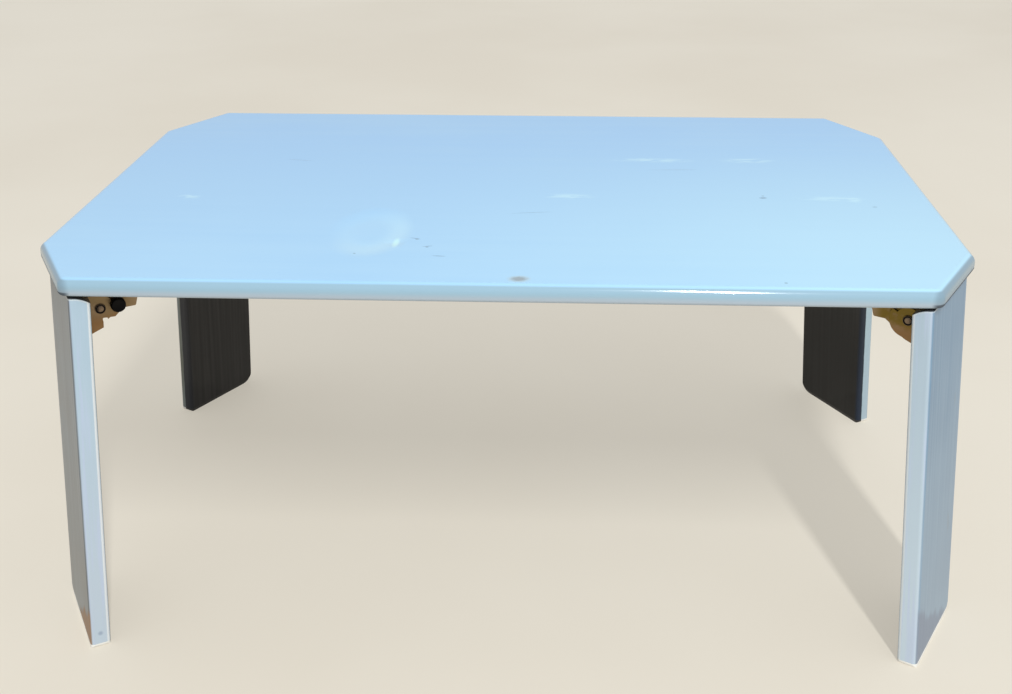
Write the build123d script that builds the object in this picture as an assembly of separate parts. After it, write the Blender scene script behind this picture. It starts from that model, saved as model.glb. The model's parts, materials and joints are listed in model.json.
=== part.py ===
"""Low table with an octagonal board on four plank legs that fold flat under it.

Millimetres. +X runs along the long side, the front is -Y, +Z is up and the floor is Z = 0.

Each corner has its own frame, in which its leg and hinge are built: the origin is the middle of
the hinge rivet, x points inwards, square to the corner cut, y runs along the rivet and z is up.
The leg's own frame is the corner frame before the leg is splayed outwards about y.
"""

import os
from math import asin, atan2, cos, degrees, hypot, radians, sin

from build123d import *

# --- the board ------------------------------------------------------------------------------
TOP_LENGTH = 750.0
TOP_DEPTH = 500.0
TOP_THICKNESS = 14.0
TABLE_HEIGHT = 332.0
CUT_ALONG_LENGTH = 45.0  # how much of the long side each corner cut takes
CUT_ALONG_DEPTH = 80.0  # how much of the short side it takes
TOP_CORNER_RADIUS = 9.0  # rounds the eight corners, seen from above
TOP_EDGE_RADIUS = 7.0
TOP_UNDER_RADIUS = 3.0

# --- the legs -------------------------------------------------------------------------------
LEG_WIDTH = 100.0
LEG_THICKNESS = 16.5
LEG_ARRIS = 3.5
LEG_SPLAY = 4.5  # degrees outwards
LEG_INSET = 6.0  # from the corner cut to the leg's outer face, at the underside
LEG_SHIFT = 2.0  # towards the short side, along the corner cut
LEG_TOP_GAP = 2.4
LEG_EASE_RADIUS = 21.0  # rounds the inner part of the leg's top end
LEG_EASE_WIDTH = 16.0
FOLD_ANGLE = 90.0 + LEG_SPLAY
FOOT_ROUND = 16.0  # the bottom corner on one side of the leg
FOOT_TIGHT = 2.0  # the bottom corner on its other side
PAD_THICKNESS = 3.0

# --- the folding bracket --------------------------------------------------------------------
SHEET = 1.6
BEND_RADIUS = 1.4
PIVOT_DROP = 29.5  # hinge rivet below the underside
PIVOT_TO_LEG = 12.5  # hinge rivet to the leg's inner face
TABLE_EAR_OUT = 10.0  # half the width over the table bracket's ears
LEG_EAR_OUT = 12.0  # half the width over the leg bracket's ears
BASE_BACK = -9.1
BASE_FRONT = 62.0
BASE_CORNER = 5.0
EAR_CORNER = 1.4
TABLE_EAR_POINTS = [
    (BASE_BACK, PIVOT_DROP),
    (BASE_BACK, 21.0),
    (-10.1, 8.0),
    (-10.1, 3.0),
    (-8.0, -5.6),
    (-3.8, -9.0),
    (11.0, -9.6),
    (15.0, -5.8),
    (18.6, -3.2),
    (28.0, -3.0),
    (30.5, 6.0),
    (36.0, PIVOT_DROP),
]
LEG_PLATE_TOP = 18.0
LEG_PLATE_BOTTOM = -23.5
LEG_PLATE_CORNER = 4.0
LEG_EAR_TIP = (1.9, -16.4)  # where the slanting lower edge of both leg ears ends
HUB_RADIUS = 10.5
GUSSET_RADIUS = 15.1
GUSSET_TOP = 6.5
GUSSET_START = -70.0  # degrees, in the leg's own frame
STOP_RADIUS = 1.4
STOP_REACH = 12.5
STOP_ANGLE = 132.0
STOP_GAP = 0.12
GUSSET_END = STOP_ANGLE - degrees(asin((STOP_RADIUS + STOP_GAP) / STOP_REACH)) - 90

# --- the rivet, its bush and the spring -----------------------------------------------------
RIVET_RADIUS = 2.5
RIVET_HEAD_RADIUS = 4.2
RIVET_HEAD_HEIGHT = 1.1
RIVET_GROOVE_INNER = 2.6
RIVET_GROOVE_OUTER = 3.8
RIVET_GROOVE_DEPTH = 0.5
RIVET_EDGE = 0.3
BUSH_RADIUS = 3.9
SPRING_WIRE = 0.6  # radius
SPRING_RADIUS = 5.1
SPRING_TURNS = 4
SPRING_PITCH = 1.4
SPRING_BEND = 1.5
SPRING_HOOK_REACH = 16.5
SPRING_HOOK = 8.0
SPRING_BRACE_RISE = 26.8
SPRING_BRACE = 6.0

# --- the latch ------------------------------------------------------------------------------
LATCH_ANGLE = 20.0  # degrees above inwards
LATCH_RIM = 11.0  # the rim that the pin rides on
PIN_RADIUS = 1.9
PIN_CLEAR = 0.3
PIN_RIDE = LATCH_RIM + PIN_RADIUS + PIN_CLEAR  # rivet to pin, the pin just clear of the rim
PIN_TRAVEL = 3.0  # from there into a notch
PIN_SPARE = 0.6
PIN_EDGE = 0.4
KNOB_RADIUS = 6.0
KNOB_DEPTH = 6.0
KNOB_FACE = 2.0  # thickness of the knob beyond the pin's end
KNOB_OFFSET = (1.0, -2.2)  # the knob's middle from its pin
KNOB_EDGE = 1.5
KNOB_DISH = 0.8
KNOB_DISH_RADIUS = 15.0
KNOB_FLUTES = 12
FLUTE_RADIUS = 0.8
FLUTE_REACH = 6.4
CLIP_RADIUS = 3.2
CLIP_THICKNESS = 0.7
CLIP_GROOVE = 0.4

# --- screws and nails -----------------------------------------------------------------------
SCREW_RADIUS = 1.7
SCREW_HEAD_RADIUS = 3.4
SCREW_POINT = 3.4
SCREW_HOLE_RISE = 1.0  # how far a screw hole goes on above the head
TABLE_SCREW_LENGTH = 11.0
LEG_SCREW_LENGTH = 15.0
CROSS_LENGTH = 3.6
CROSS_WIDTH = 0.7
CROSS_DEPTH = 1.1
TABLE_SCREW_PLACES = [(26.0, -4.6), (26.0, 4.6), (50.0, -4.6), (50.0, 4.6)]
LEG_SCREW_PLACES = [(-5.4, 13.2), (5.4, 13.2), (-5.4, -16.4), (5.4, -16.4)]
NAIL_RADIUS = 0.9
NAIL_HEAD_RADIUS = 2.4
NAIL_HEAD_HEIGHT = 0.9
NAIL_LENGTH = 18.0
NAIL_RECESS = 0.5
NAIL_PLACES = (-23.0, 23.0)

# --- fits -----------------------------------------------------------------------------------
HOLE_GAP = 0.05  # round anything fixed in its hole
RUNNING_GAP = 0.06  # round the rivet where the leg turns on it
SLOT_GAP = 0.12  # each side of the latch pin
SIDE_GAP = 0.15  # between parts stacked on the rivet or the latch pin
KNOB_GAP = 0.4  # knob to leg bracket
BEYOND = 400.0  # past the end of anything in a corner frame

# --- worked out from the above --------------------------------------------------------------
UNDERSIDE = TABLE_HEIGHT - TOP_THICKNESS
PIVOT_HEIGHT = UNDERSIDE - PIVOT_DROP
FLOOR = -PIVOT_HEIGHT  # the floor, in a corner frame
SPLAY = radians(LEG_SPLAY)
LEG_SLICE = LEG_THICKNESS / cos(SPLAY)  # the leg's thickness, measured level
CUT_LENGTH = hypot(CUT_ALONG_LENGTH, CUT_ALONG_DEPTH)
INNER_TOP = (PIVOT_DROP * sin(SPLAY) - PIVOT_TO_LEG) / cos(SPLAY)  # the leg's inner face, up there
PIVOT_INSET = LEG_INSET + LEG_SLICE - INNER_TOP
TABLE_EAR_IN = TABLE_EAR_OUT - SHEET
LEG_EAR_IN = LEG_EAR_OUT - SHEET
KNOB_BACK = -LEG_EAR_OUT - KNOB_GAP
CLIP_MIDDLE = TABLE_EAR_IN - SIDE_GAP - CLIP_THICKNESS / 2
CORNERS = {"front_left": (-1, -1), "front_right": (1, -1), "rear_left": (-1, 1), "rear_right": (1, 1)}
ON_FLOOR = (Align.CENTER, Align.CENTER, Align.MIN)
HANGING = (Align.CENTER, Align.CENTER, Align.MAX)


def polar(reach, angle):
    """Point at a distance and an angle in degrees, inwards being 0 and up being 90."""
    return (reach * cos(radians(angle)), reach * sin(radians(angle)))


def drum(radius, low, high, x=0.0, z=0.0):
    """Cylinder along y, from low to high."""
    return Pos(x, (low + high) / 2, z) * Rot(90, 0, 0) * Cylinder(radius, high - low)


def sheet_part(outline, low, high):
    """Flat part with its outline in x and z, from low to high along y."""
    return Pos(0, high, 0) * extrude(Plane.XZ * outline, high - low)


def corner_frame(name):
    """Where a corner's own frame sits on the table."""
    side, end = CORNERS[name]
    outward = Vector(side * CUT_ALONG_DEPTH, end * CUT_ALONG_LENGTH) / CUT_LENGTH
    along = Vector(side * CUT_ALONG_LENGTH, -end * CUT_ALONG_DEPTH) / CUT_LENGTH
    half_x = (TOP_LENGTH - CUT_ALONG_LENGTH) / 2
    half_y = (TOP_DEPTH - CUT_ALONG_DEPTH) / 2
    place = Vector(side * half_x, end * half_y) + along * LEG_SHIFT - outward * PIVOT_INSET
    turn = degrees(atan2(-outward.Y, -outward.X))
    return Pos(place.X, place.Y, PIVOT_HEIGHT) * Rot(0, 0, turn)


def splayed(shape):
    """Turns a shape from the leg's own frame into the corner frame."""
    return Rot(0, LEG_SPLAY, 0) * shape


# --- screws, nails and their holes ----------------------------------------------------------
def cross_recess():
    """Plus-shaped pocket, opening at Z = 0."""
    arm = Box(CROSS_LENGTH, CROSS_WIDTH, CROSS_DEPTH, align=HANGING)
    return arm + Rot(0, 0, 90) * arm


def screw(length):
    """Countersunk wood screw pointing down, its head's face at Z = 0."""
    cone = SCREW_HEAD_RADIUS - SCREW_RADIUS
    profile = [
        (0, 0),
        (SCREW_HEAD_RADIUS, 0),
        (SCREW_RADIUS, -cone),
        (SCREW_RADIUS, SCREW_POINT - length),
        (0, -length),
    ]
    return revolve(Plane.XZ * Polygon(*profile, align=None), Axis.Z) - cross_recess()


def screw_hole(length):
    """The room that a screw takes, a little larger all round and open above its head."""
    head = SCREW_HEAD_RADIUS + HOLE_GAP
    shank = SCREW_RADIUS + HOLE_GAP
    profile = [
        (0, SCREW_HOLE_RISE),
        (head, SCREW_HOLE_RISE),
        (head, 0),
        (shank, shank - head),
        (shank, -length),
        (0, -length),
    ]
    return revolve(Plane.XZ * Polygon(*profile, align=None), Axis.Z)


def nail(gap=0.0):
    """Flat-headed nail pointing up, its head's face at Z = 0; the gap makes it larger all round."""
    head = Cone(NAIL_HEAD_RADIUS + gap, NAIL_RADIUS + gap, NAIL_HEAD_HEIGHT, align=ON_FLOOR)
    return head + Cylinder(NAIL_RADIUS + gap, NAIL_LENGTH + gap, align=ON_FLOOR)


def nail_hole():
    """The room that a nail takes, open below its head."""
    return nail(HOLE_GAP) + Cylinder(NAIL_HEAD_RADIUS + HOLE_GAP, 2 * NAIL_RECESS, align=HANGING)


def table_screw_frames():
    """Screw heads flush with the table bracket's lower face, pointing up."""
    height = PIVOT_DROP - SHEET
    return [Pos(x, y, height) * Rot(180, 0, 0) for x, y in TABLE_SCREW_PLACES]


def leg_screw_frames():
    """Screw heads flush with the leg bracket's plate, pointing into the leg."""
    face = SHEET - PIVOT_TO_LEG
    return [splayed(Pos(face, y, z) * Rot(0, 90, 0)) for y, z in LEG_SCREW_PLACES]


def pad_nail_frames():
    """Nail heads just inside the pad's lower face, on the middle line of the foot."""
    splay_run = (PIVOT_DROP - FLOOR) * sin(SPLAY) / cos(SPLAY)
    middle = INNER_TOP - splay_run - LEG_SLICE / 2
    return [Pos(middle, y, FLOOR + NAIL_RECESS) for y in NAIL_PLACES]


def table_screws():
    return [frame * screw(TABLE_SCREW_LENGTH) for frame in table_screw_frames()]


def leg_screws():
    return [frame * screw(LEG_SCREW_LENGTH) for frame in leg_screw_frames()]


def pad_nails():
    return [frame * nail() for frame in pad_nail_frames()]


# --- board and legs -------------------------------------------------------------------------
def table_top():
    """Octagonal board with a soft upper edge and blind holes for the bracket screws."""
    half_x, half_y = TOP_LENGTH / 2, TOP_DEPTH / 2
    in_x, in_y = half_x - CUT_ALONG_LENGTH, half_y - CUT_ALONG_DEPTH
    right = [(half_x, -in_y), (half_x, in_y), (in_x, half_y), (-in_x, half_y)]
    left = [(-x, -y) for x, y in right]
    outline = Polygon(*right, *left, align=None)
    outline = fillet(outline.vertices(), TOP_CORNER_RADIUS)
    board = Pos(0, 0, UNDERSIDE) * extrude(outline, TOP_THICKNESS)
    board = fillet(board.faces().sort_by(Axis.Z)[-1].edges(), TOP_EDGE_RADIUS)
    board = fillet(board.faces().sort_by(Axis.Z)[0].edges(), TOP_UNDER_RADIUS)
    for name in CORNERS:
        for frame in table_screw_frames():
            board -= corner_frame(name) * frame * screw_hole(TABLE_SCREW_LENGTH)
    return board


def side_face(round_side):
    """The leg as seen square to its wide face; round_side has the larger bottom corner."""
    top_end = PIVOT_DROP - LEG_TOP_GAP
    face = Pos(0, (FLOOR + top_end) / 2) * Rectangle(LEG_WIDTH, top_end - FLOOR)
    wide = face.vertices().filter_by(lambda v: v.Y < 0 < v.X * round_side)
    face = fillet(wide, FOOT_ROUND)
    tight = face.vertices().filter_by(lambda v: v.Y < 0 < -v.X * round_side)
    return fillet(tight, FOOT_TIGHT)


def leg_blank(round_side):
    """Whole splayed plank from the floor to its top end, foot pad included."""
    section = RectangleRounded(LEG_THICKNESS, LEG_WIDTH, LEG_ARRIS)
    plank = extrude(section, BEYOND, both=True)
    plank = splayed(Pos(-PIVOT_TO_LEG - LEG_THICKNESS / 2, 0, 0) * plank)
    plank &= extrude(Plane.YZ * side_face(round_side), BEYOND, both=True)
    ease = INNER_TOP - LEG_EASE_WIDTH
    top_end = PIVOT_DROP - LEG_TOP_GAP
    shoulder = Box(LEG_SLICE, LEG_WIDTH, LEG_SLICE, align=(Align.MIN, Align.CENTER, Align.CENTER))
    rounding = drum(LEG_EASE_RADIUS, -LEG_WIDTH, LEG_WIDTH, ease, top_end - LEG_EASE_RADIUS)
    return plank - (Pos(ease, 0, top_end) * shoulder - rounding)


def pad_zone():
    """Everything low enough to be foot pad."""
    return Pos(0, 0, FLOOR + PAD_THICKNESS) * Box(BEYOND, BEYOND, BEYOND, align=HANGING)


def leg(round_side):
    """Plank leg without its pad, with holes for the bracket screws and the pad nails."""
    plank = leg_blank(round_side) - pad_zone()
    for frame in leg_screw_frames():
        plank -= frame * screw_hole(LEG_SCREW_LENGTH)
    for frame in pad_nail_frames():
        plank -= frame * nail_hole()
    return plank


def foot_pad(round_side):
    """Thin pad under the leg, flush with it all round."""
    pad = leg_blank(round_side) & pad_zone()
    for frame in pad_nail_frames():
        pad -= frame * nail_hole()
    return pad


# --- folding bracket ------------------------------------------------------------------------
def slot(inner, outer, half_width, angle):
    """Round-ended slot in x and z, running outwards from the rivet at an angle."""
    shape = SlotOverall(outer - inner + 2 * half_width, 2 * half_width)
    return Rot(0, 0, angle) * Pos((inner + outer) / 2, 0) * shape


def table_ear():
    """Outline of the table bracket's ears, with the rivet hole and the latch pin's slot."""
    ear = Polygon(*TABLE_EAR_POINTS, align=None)
    ear = fillet(ear.vertices().filter_by(lambda v: v.Y < PIVOT_DROP / 2), EAR_CORNER)
    ear -= Circle(RIVET_RADIUS + HOLE_GAP)
    return ear - slot(PIN_RIDE - PIN_TRAVEL, PIN_RIDE + PIN_SPARE, PIN_RADIUS + SLOT_GAP, LATCH_ANGLE)


def table_bracket():
    """Channel under the board: a long base and two ears that carry the rivet and the latch pin."""
    base = Box(BASE_FRONT - BASE_BACK, 2 * TABLE_EAR_OUT, SHEET, align=(Align.MIN, Align.CENTER, Align.MAX))
    bracket = Pos(BASE_BACK, 0, PIVOT_DROP) * base
    bracket = fillet(bracket.edges().filter_by(Axis.Z).group_by(Axis.X)[-1], BASE_CORNER)
    ear = table_ear()
    bracket += sheet_part(ear, TABLE_EAR_IN, TABLE_EAR_OUT)
    bracket += sheet_part(ear, -TABLE_EAR_OUT, -TABLE_EAR_IN)
    upper = bracket.faces().sort_by(Axis.Z)[-1]
    bracket = fillet(upper.edges().filter_by(Axis.X), BEND_RADIUS)
    stop_x, stop_z = polar(STOP_REACH, STOP_ANGLE)
    bracket += drum(STOP_RADIUS, TABLE_EAR_IN, LEG_EAR_OUT - SIDE_GAP, stop_x, stop_z)
    for frame in table_screw_frames():
        bracket -= frame * screw_hole(TABLE_SCREW_LENGTH)
    return bracket


def latch_ear():
    """Outline of the leg bracket's notched ear, in the leg's own frame."""
    arm = [
        (-PIVOT_TO_LEG, LEG_PLATE_BOTTOM),
        LEG_EAR_TIP,
        (LEG_EAR_TIP[0], 0),
        (0, LATCH_RIM),
        (-PIVOT_TO_LEG, LATCH_RIM),
    ]
    ear = Polygon(*arm, align=None) + Circle(LATCH_RIM)
    open_notch = LATCH_ANGLE + LEG_SPLAY
    for angle in (open_notch, open_notch - FOLD_ANGLE):
        ear -= slot(PIN_RIDE - PIN_TRAVEL, PIN_RIDE + LATCH_RIM, PIN_RADIUS + SLOT_GAP, angle)
    return ear - Circle(RIVET_RADIUS + RUNNING_GAP)


def gusset_ear():
    """Outline of the leg bracket's other ear: a sector whose shoulder meets the stop when folded."""
    middle = (GUSSET_START + GUSSET_END) / 2
    first, between, last = [polar(GUSSET_RADIUS, angle) for angle in (GUSSET_START, middle, GUSSET_END)]
    rim = ThreePointArc(first, between, last)
    sides = Polyline(
        last,
        (0, 0),
        (0, GUSSET_TOP),
        (-PIVOT_TO_LEG, GUSSET_TOP),
        (-PIVOT_TO_LEG, LEG_PLATE_BOTTOM),
        LEG_EAR_TIP,
        first,
    )
    ear = make_face(rim.edges() + sides.edges()) + Circle(HUB_RADIUS)
    return ear - Circle(RIVET_RADIUS + RUNNING_GAP)


def leg_bracket():
    """Channel on the leg's inner face: a plate with the notched ear and the gusset ear."""
    height = LEG_PLATE_TOP - LEG_PLATE_BOTTOM
    plate = Box(SHEET, 2 * LEG_EAR_OUT, height, align=(Align.MIN, Align.CENTER, Align.MIN))
    bracket = Pos(-PIVOT_TO_LEG, 0, LEG_PLATE_BOTTOM) * plate
    bracket = fillet(bracket.edges().filter_by(Axis.X).group_by(Axis.Z)[-1], LEG_PLATE_CORNER)
    bracket += sheet_part(latch_ear(), -LEG_EAR_OUT, -LEG_EAR_IN)
    bracket += sheet_part(gusset_ear(), LEG_EAR_IN, LEG_EAR_OUT)
    back = bracket.faces().sort_by(Axis.X)[0]
    bracket = splayed(fillet(back.edges().filter_by(Axis.Z), BEND_RADIUS))
    for frame in leg_screw_frames():
        bracket -= frame * screw_hole(LEG_SCREW_LENGTH)
    return bracket


def hinge_rivet():
    """Rivet through both brackets, with a grooved head on each end."""
    seat = LEG_EAR_OUT + SIDE_GAP
    face = seat + RIVET_HEAD_HEIGHT
    groove = face - RIVET_GROOVE_DEPTH
    half = [
        (0, 0),
        (RIVET_RADIUS, 0),
        (RIVET_RADIUS, seat),
        (RIVET_HEAD_RADIUS, seat),
        (RIVET_HEAD_RADIUS, face - RIVET_EDGE),
        (RIVET_HEAD_RADIUS - RIVET_EDGE, face),
        (RIVET_GROOVE_OUTER, face),
        (RIVET_GROOVE_OUTER, groove),
        (RIVET_GROOVE_INNER, groove),
        (RIVET_GROOVE_INNER, face - RIVET_EDGE),
        (RIVET_GROOVE_INNER / 2, face + RIVET_EDGE / 2),
        (0, face + RIVET_EDGE),
    ]
    end = revolve(Polygon(*half, align=None), Axis.Y)
    return end + mirror(end, Plane.XZ)


def hinge_bush():
    """Spacer tube on the rivet, between the table bracket's ears."""
    reach = TABLE_EAR_IN - SIDE_GAP
    return drum(BUSH_RADIUS, -reach, reach) - drum(RIVET_RADIUS + HOLE_GAP, -LEG_EAR_OUT, LEG_EAR_OUT)


def latch_spring():
    """Torsion spring round the bush: one arm hooks behind the latch pin, the other braces on the base."""
    length = SPRING_PITCH * (SPRING_TURNS + (90 + LATCH_ANGLE) / 360)
    coil = Helix(SPRING_PITCH, length, SPRING_RADIUS, center=(0, -length / 2, 0), direction=(0, 1, 0))
    coil = Rot(0, 180 - LATCH_ANGLE, 0) * coil
    elbow = coil @ 0 - coil % 0 * SPRING_HOOK_REACH
    hook_x, hook_z = polar(SPRING_HOOK, LATCH_ANGLE + 90)
    hook = FilletPolyline(elbow + Vector(hook_x, 0, hook_z), elbow, coil @ 0, radius=SPRING_BEND)
    under_base = coil @ 1 + coil % 1 * SPRING_BRACE_RISE
    brace = FilletPolyline(coil @ 1, under_base, under_base + Vector(SPRING_BRACE), radius=SPRING_BEND)
    path = Wire(hook.edges() + coil.edges() + brace.edges())
    return sweep(Plane(path @ 0, z_dir=path % 0) * Circle(SPRING_WIRE), path)


def latch_pin():
    """Cross pin of the latch, grooved for its two clips."""
    x, z = polar(PIN_RIDE, LATCH_ANGLE)
    pin = drum(PIN_RADIUS, KNOB_BACK - KNOB_DEPTH + KNOB_FACE, LEG_EAR_IN - SIDE_GAP, x, z)
    pin = chamfer(pin.edges().filter_by(GeomType.CIRCLE), PIN_EDGE)
    half_groove = CLIP_THICKNESS / 2 + HOLE_GAP
    for middle in (-CLIP_MIDDLE, CLIP_MIDDLE):
        low, high = middle - half_groove, middle + half_groove
        pin -= drum(CLIP_RADIUS, low, high, x, z) - drum(PIN_RADIUS - CLIP_GROOVE, low, high, x, z)
    return pin


def latch_clips():
    """Two open rings that keep the latch pin from sliding out sideways."""
    x, z = polar(PIN_RIDE, LATCH_ANGLE)
    bore = PIN_RADIUS - CLIP_GROOVE + HOLE_GAP
    mouth = Box(CLIP_RADIUS, 2 * LEG_EAR_OUT, PIN_RADIUS, align=(Align.MIN, Align.CENTER, Align.CENTER))
    clips = []
    for middle in (-CLIP_MIDDLE, CLIP_MIDDLE):
        low, high = middle - CLIP_THICKNESS / 2, middle + CLIP_THICKNESS / 2
        ring = drum(CLIP_RADIUS, low, high, x, z) - drum(bore, low, high, x, z)
        clips.append(ring - Pos(x, 0, z) * Rot(0, -LATCH_ANGLE, 0) * mouth)
    return clips


def latch_knob():
    """Moulded thumb knob on the pin's end, with a dished face and a fluted rim."""
    pin_x, pin_z = polar(PIN_RIDE, LATCH_ANGLE)
    x, z = pin_x + KNOB_OFFSET[0], pin_z + KNOB_OFFSET[1]
    face = KNOB_BACK - KNOB_DEPTH
    knob = drum(KNOB_RADIUS, face, KNOB_BACK, x, z)
    knob = fillet(knob.edges().filter_by(GeomType.CIRCLE).sort_by(Axis.Y)[0], KNOB_EDGE)
    knob -= Pos(x, face + KNOB_DISH - KNOB_DISH_RADIUS, z) * Sphere(KNOB_DISH_RADIUS)
    for step in range(KNOB_FLUTES):
        flute_x, flute_z = polar(FLUTE_REACH, 360 / KNOB_FLUTES * step)
        knob -= drum(FLUTE_RADIUS, face, KNOB_BACK, x + flute_x, z + flute_z)
    return knob - drum(PIN_RADIUS + HOLE_GAP, face + KNOB_FACE - HOLE_GAP, KNOB_BACK, pin_x, pin_z)


# --- the whole table ------------------------------------------------------------------------
def corner_parts(round_side):
    """The parts of one corner, in the corner frame."""
    return {
        "leg": leg(round_side),
        "foot_pad": foot_pad(round_side),
        "pad_nails": Compound(children=pad_nails()),
        "leg_bracket": leg_bracket(),
        "leg_screws": Compound(children=leg_screws()),
        "table_bracket": table_bracket(),
        "table_screws": Compound(children=table_screws()),
        "hinge_rivet": hinge_rivet(),
        "hinge_bush": hinge_bush(),
        "latch_spring": latch_spring(),
        "latch_pin": latch_pin(),
        "latch_clips": Compound(children=latch_clips()),
        "latch_knob": latch_knob(),
    }


def main():
    os.makedirs("parts", exist_ok=True)
    export_step(table_top(), "parts/table_top.step")
    for name in CORNERS:
        side = CORNERS[name][0]
        for part, shape in corner_parts(-side).items():
            export_step(corner_frame(name) * shape, f"parts/{name}_{part}.step")


main()
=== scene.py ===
# %% [markdown]
# # A low table with folding legs
#
# This lesson dresses a folding low table: an octagonal board in sky-blue gloss lacquer, four
# splayed plank legs, and at each corner a pressed steel hinge with a spring latch. The shapes that
# fit and move come from CAD, so they are loaded first. What follows is finish: colour and wear, a
# board with a dent pressed into it, and the small hardware that CAD kept plain.
#
# All lengths are in metres. The floor is z = 0, the front is -y, and x runs along the long side.

# %% Load the frame
import json
from math import cos, pi, radians, sin, tan

import bmesh
import bpy
from mathutils import Matrix, Vector


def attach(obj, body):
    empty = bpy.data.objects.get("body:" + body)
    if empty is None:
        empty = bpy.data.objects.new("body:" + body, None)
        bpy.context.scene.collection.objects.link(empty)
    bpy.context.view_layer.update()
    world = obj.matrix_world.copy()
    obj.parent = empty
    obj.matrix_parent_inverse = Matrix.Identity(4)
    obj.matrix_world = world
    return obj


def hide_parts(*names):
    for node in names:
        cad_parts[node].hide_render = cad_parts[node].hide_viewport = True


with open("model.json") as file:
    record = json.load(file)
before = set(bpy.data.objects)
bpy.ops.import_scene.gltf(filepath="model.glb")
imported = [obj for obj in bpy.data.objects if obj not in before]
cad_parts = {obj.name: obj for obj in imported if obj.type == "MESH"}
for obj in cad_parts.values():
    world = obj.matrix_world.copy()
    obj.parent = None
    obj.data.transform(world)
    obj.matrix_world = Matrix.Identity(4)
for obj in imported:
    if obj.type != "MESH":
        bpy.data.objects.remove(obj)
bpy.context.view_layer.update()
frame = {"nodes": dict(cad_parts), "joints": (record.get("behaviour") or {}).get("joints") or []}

nodes = frame["nodes"]

# %% [markdown]
# ## Where the corners are
#
# The four hinges are the same hardware, turned. Each one is easiest to think about in its own
# frame: x points inwards, y along the rivet, z up. The joints in the record hold the rivet's place
# and direction, so the corner frames are read from them and no number is typed twice. A leg leans
# outwards by its splay, which gives it a second, tilted frame.

# %% Corner and leg frames
SPLAY = radians(4.5)
CORNERS = ("front_left", "front_right", "rear_left", "rear_right")


def corner_frame(name):
    joint = next(j for j in frame["joints"] if j["name"] == f"{name}_leg_fold")
    along = -Vector(joint["axis"])
    up = Vector((0, 0, 1))
    turn = Matrix((along.cross(up), along, up)).transposed()
    return Matrix.Translation(joint["pos_m"]) @ turn.to_4x4()


hinge = {name: corner_frame(name) for name in CORNERS}
leg_frame = {name: hinge[name] @ Matrix.Rotation(SPLAY, 4, "Y") for name in CORNERS}
for name in CORNERS:
    print(name, "rivet at", [round(v, 4) for v in hinge[name].translation])

# %% [markdown]
# ## Writing materials as formulas
#
# A procedural material is a small program made of nodes. Wiring it by hand hides what it does, so
# this class lets a formula be written as one: `1 - mask * 0.3` adds the Math nodes it needs. Any
# other node is added with `node`, which takes the node's type, its settings and its inputs.

# %% A socket that can be calculated with
def operator(operation, swapped=False):
    """A method that adds one Math node; swapped puts the other value first."""

    def method(self, other):
        values = (other, self) if swapped else (self, other)
        return self.math(operation, *values)

    return method


class Signal:
    """One output of a node, in a material or in a Geometry Nodes tree."""

    __add__, __radd__ = operator("ADD"), operator("ADD", swapped=True)
    __sub__, __rsub__ = operator("SUBTRACT"), operator("SUBTRACT", swapped=True)
    __mul__, __truediv__, __pow__ = operator("MULTIPLY"), operator("DIVIDE"), operator("POWER")

    def __init__(self, tree, socket=None):
        self.tree = tree
        self.socket = socket

    def node(self, kind, settings=None, inputs=None, output=0):
        """Adds a node; an input is another signal or a plain value."""
        made = self.tree.nodes.new(kind)
        for name, value in (settings or {}).items():
            setattr(made, name, value)
        for name, value in (inputs or {}).items():
            if isinstance(value, Signal):
                self.tree.links.new(value.socket, made.inputs[name])
            else:
                made.inputs[name].default_value = value
        return Signal(self.tree, made.outputs[output])

    def math(self, operation, *values):
        return self.node("ShaderNodeMath", {"operation": operation}, dict(enumerate(values)))

    def __abs__(self):
        return self.math("ABSOLUTE", self)

    def join(self, *others):
        """Puts pieces of geometry together."""
        joined = self.tree.nodes.new("GeometryNodeJoinGeometry")
        for piece in (self, *others):
            self.tree.links.new(piece.socket, joined.inputs[0])
        return Signal(self.tree, joined.outputs[0])

    def step(self, start, end):
        """0 before start and 1 after end, with a smooth ramp between; start may be above end."""
        inputs = {"Value": self, "From Min": start, "From Max": end}
        return self.node("ShaderNodeMapRange", {"interpolation_type": "SMOOTHSTEP"}, inputs)

    def split(self):
        parts = self.node("ShaderNodeSeparateXYZ", {}, {0: self})
        outputs = parts.socket.node.outputs
        return [Signal(self.tree, outputs[axis]) for axis in "XYZ"]

    def blend(self, low, high):
        """Mixes two colours by this value."""
        inputs = {0: self, 6: low, 7: high}
        return self.node("ShaderNodeMix", {"data_type": "RGBA"}, inputs, output=2)

    def moved(self, scale=(1, 1, 1), location=(0, 0, 0), rotation=(0, 0, 0)):
        inputs = {"Vector": self, "Scale": scale, "Location": location, "Rotation": rotation}
        return self.node("ShaderNodeMapping", {}, inputs)

    def noise(self, scale, detail=2.0, roughness=0.5, seed=0.0):
        """Cloudy noise from 0 to 1; seed moves it along the noise's fourth dimension."""
        inputs = {"Vector": self, "W": seed, "Scale": scale, "Detail": detail}
        inputs["Roughness"] = roughness
        return self.node("ShaderNodeTexNoise", {"noise_dimensions": "4D"}, inputs)

    def drawn_noise(self, scale, detail, seed):
        """Noise with a scale for each axis; along an axis with a small one it is drawn out."""
        return self.moved(scale=scale).noise(1.0, detail=detail, seed=seed)


def colour(red, green, blue):
    """A colour written as on a screen, 0 to 255, as the linear values that Blender wants."""
    parts = [value / 255 for value in (red, green, blue)]
    return tuple(v / 12.92 if v <= 0.04045 else ((v + 0.055) / 1.055) ** 2.4 for v in parts)


def paint(red, green, blue):
    return (*colour(red, green, blue), 1)


print("signal class ready; mid grey is", [round(v, 3) for v in colour(128, 128, 128)])

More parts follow.
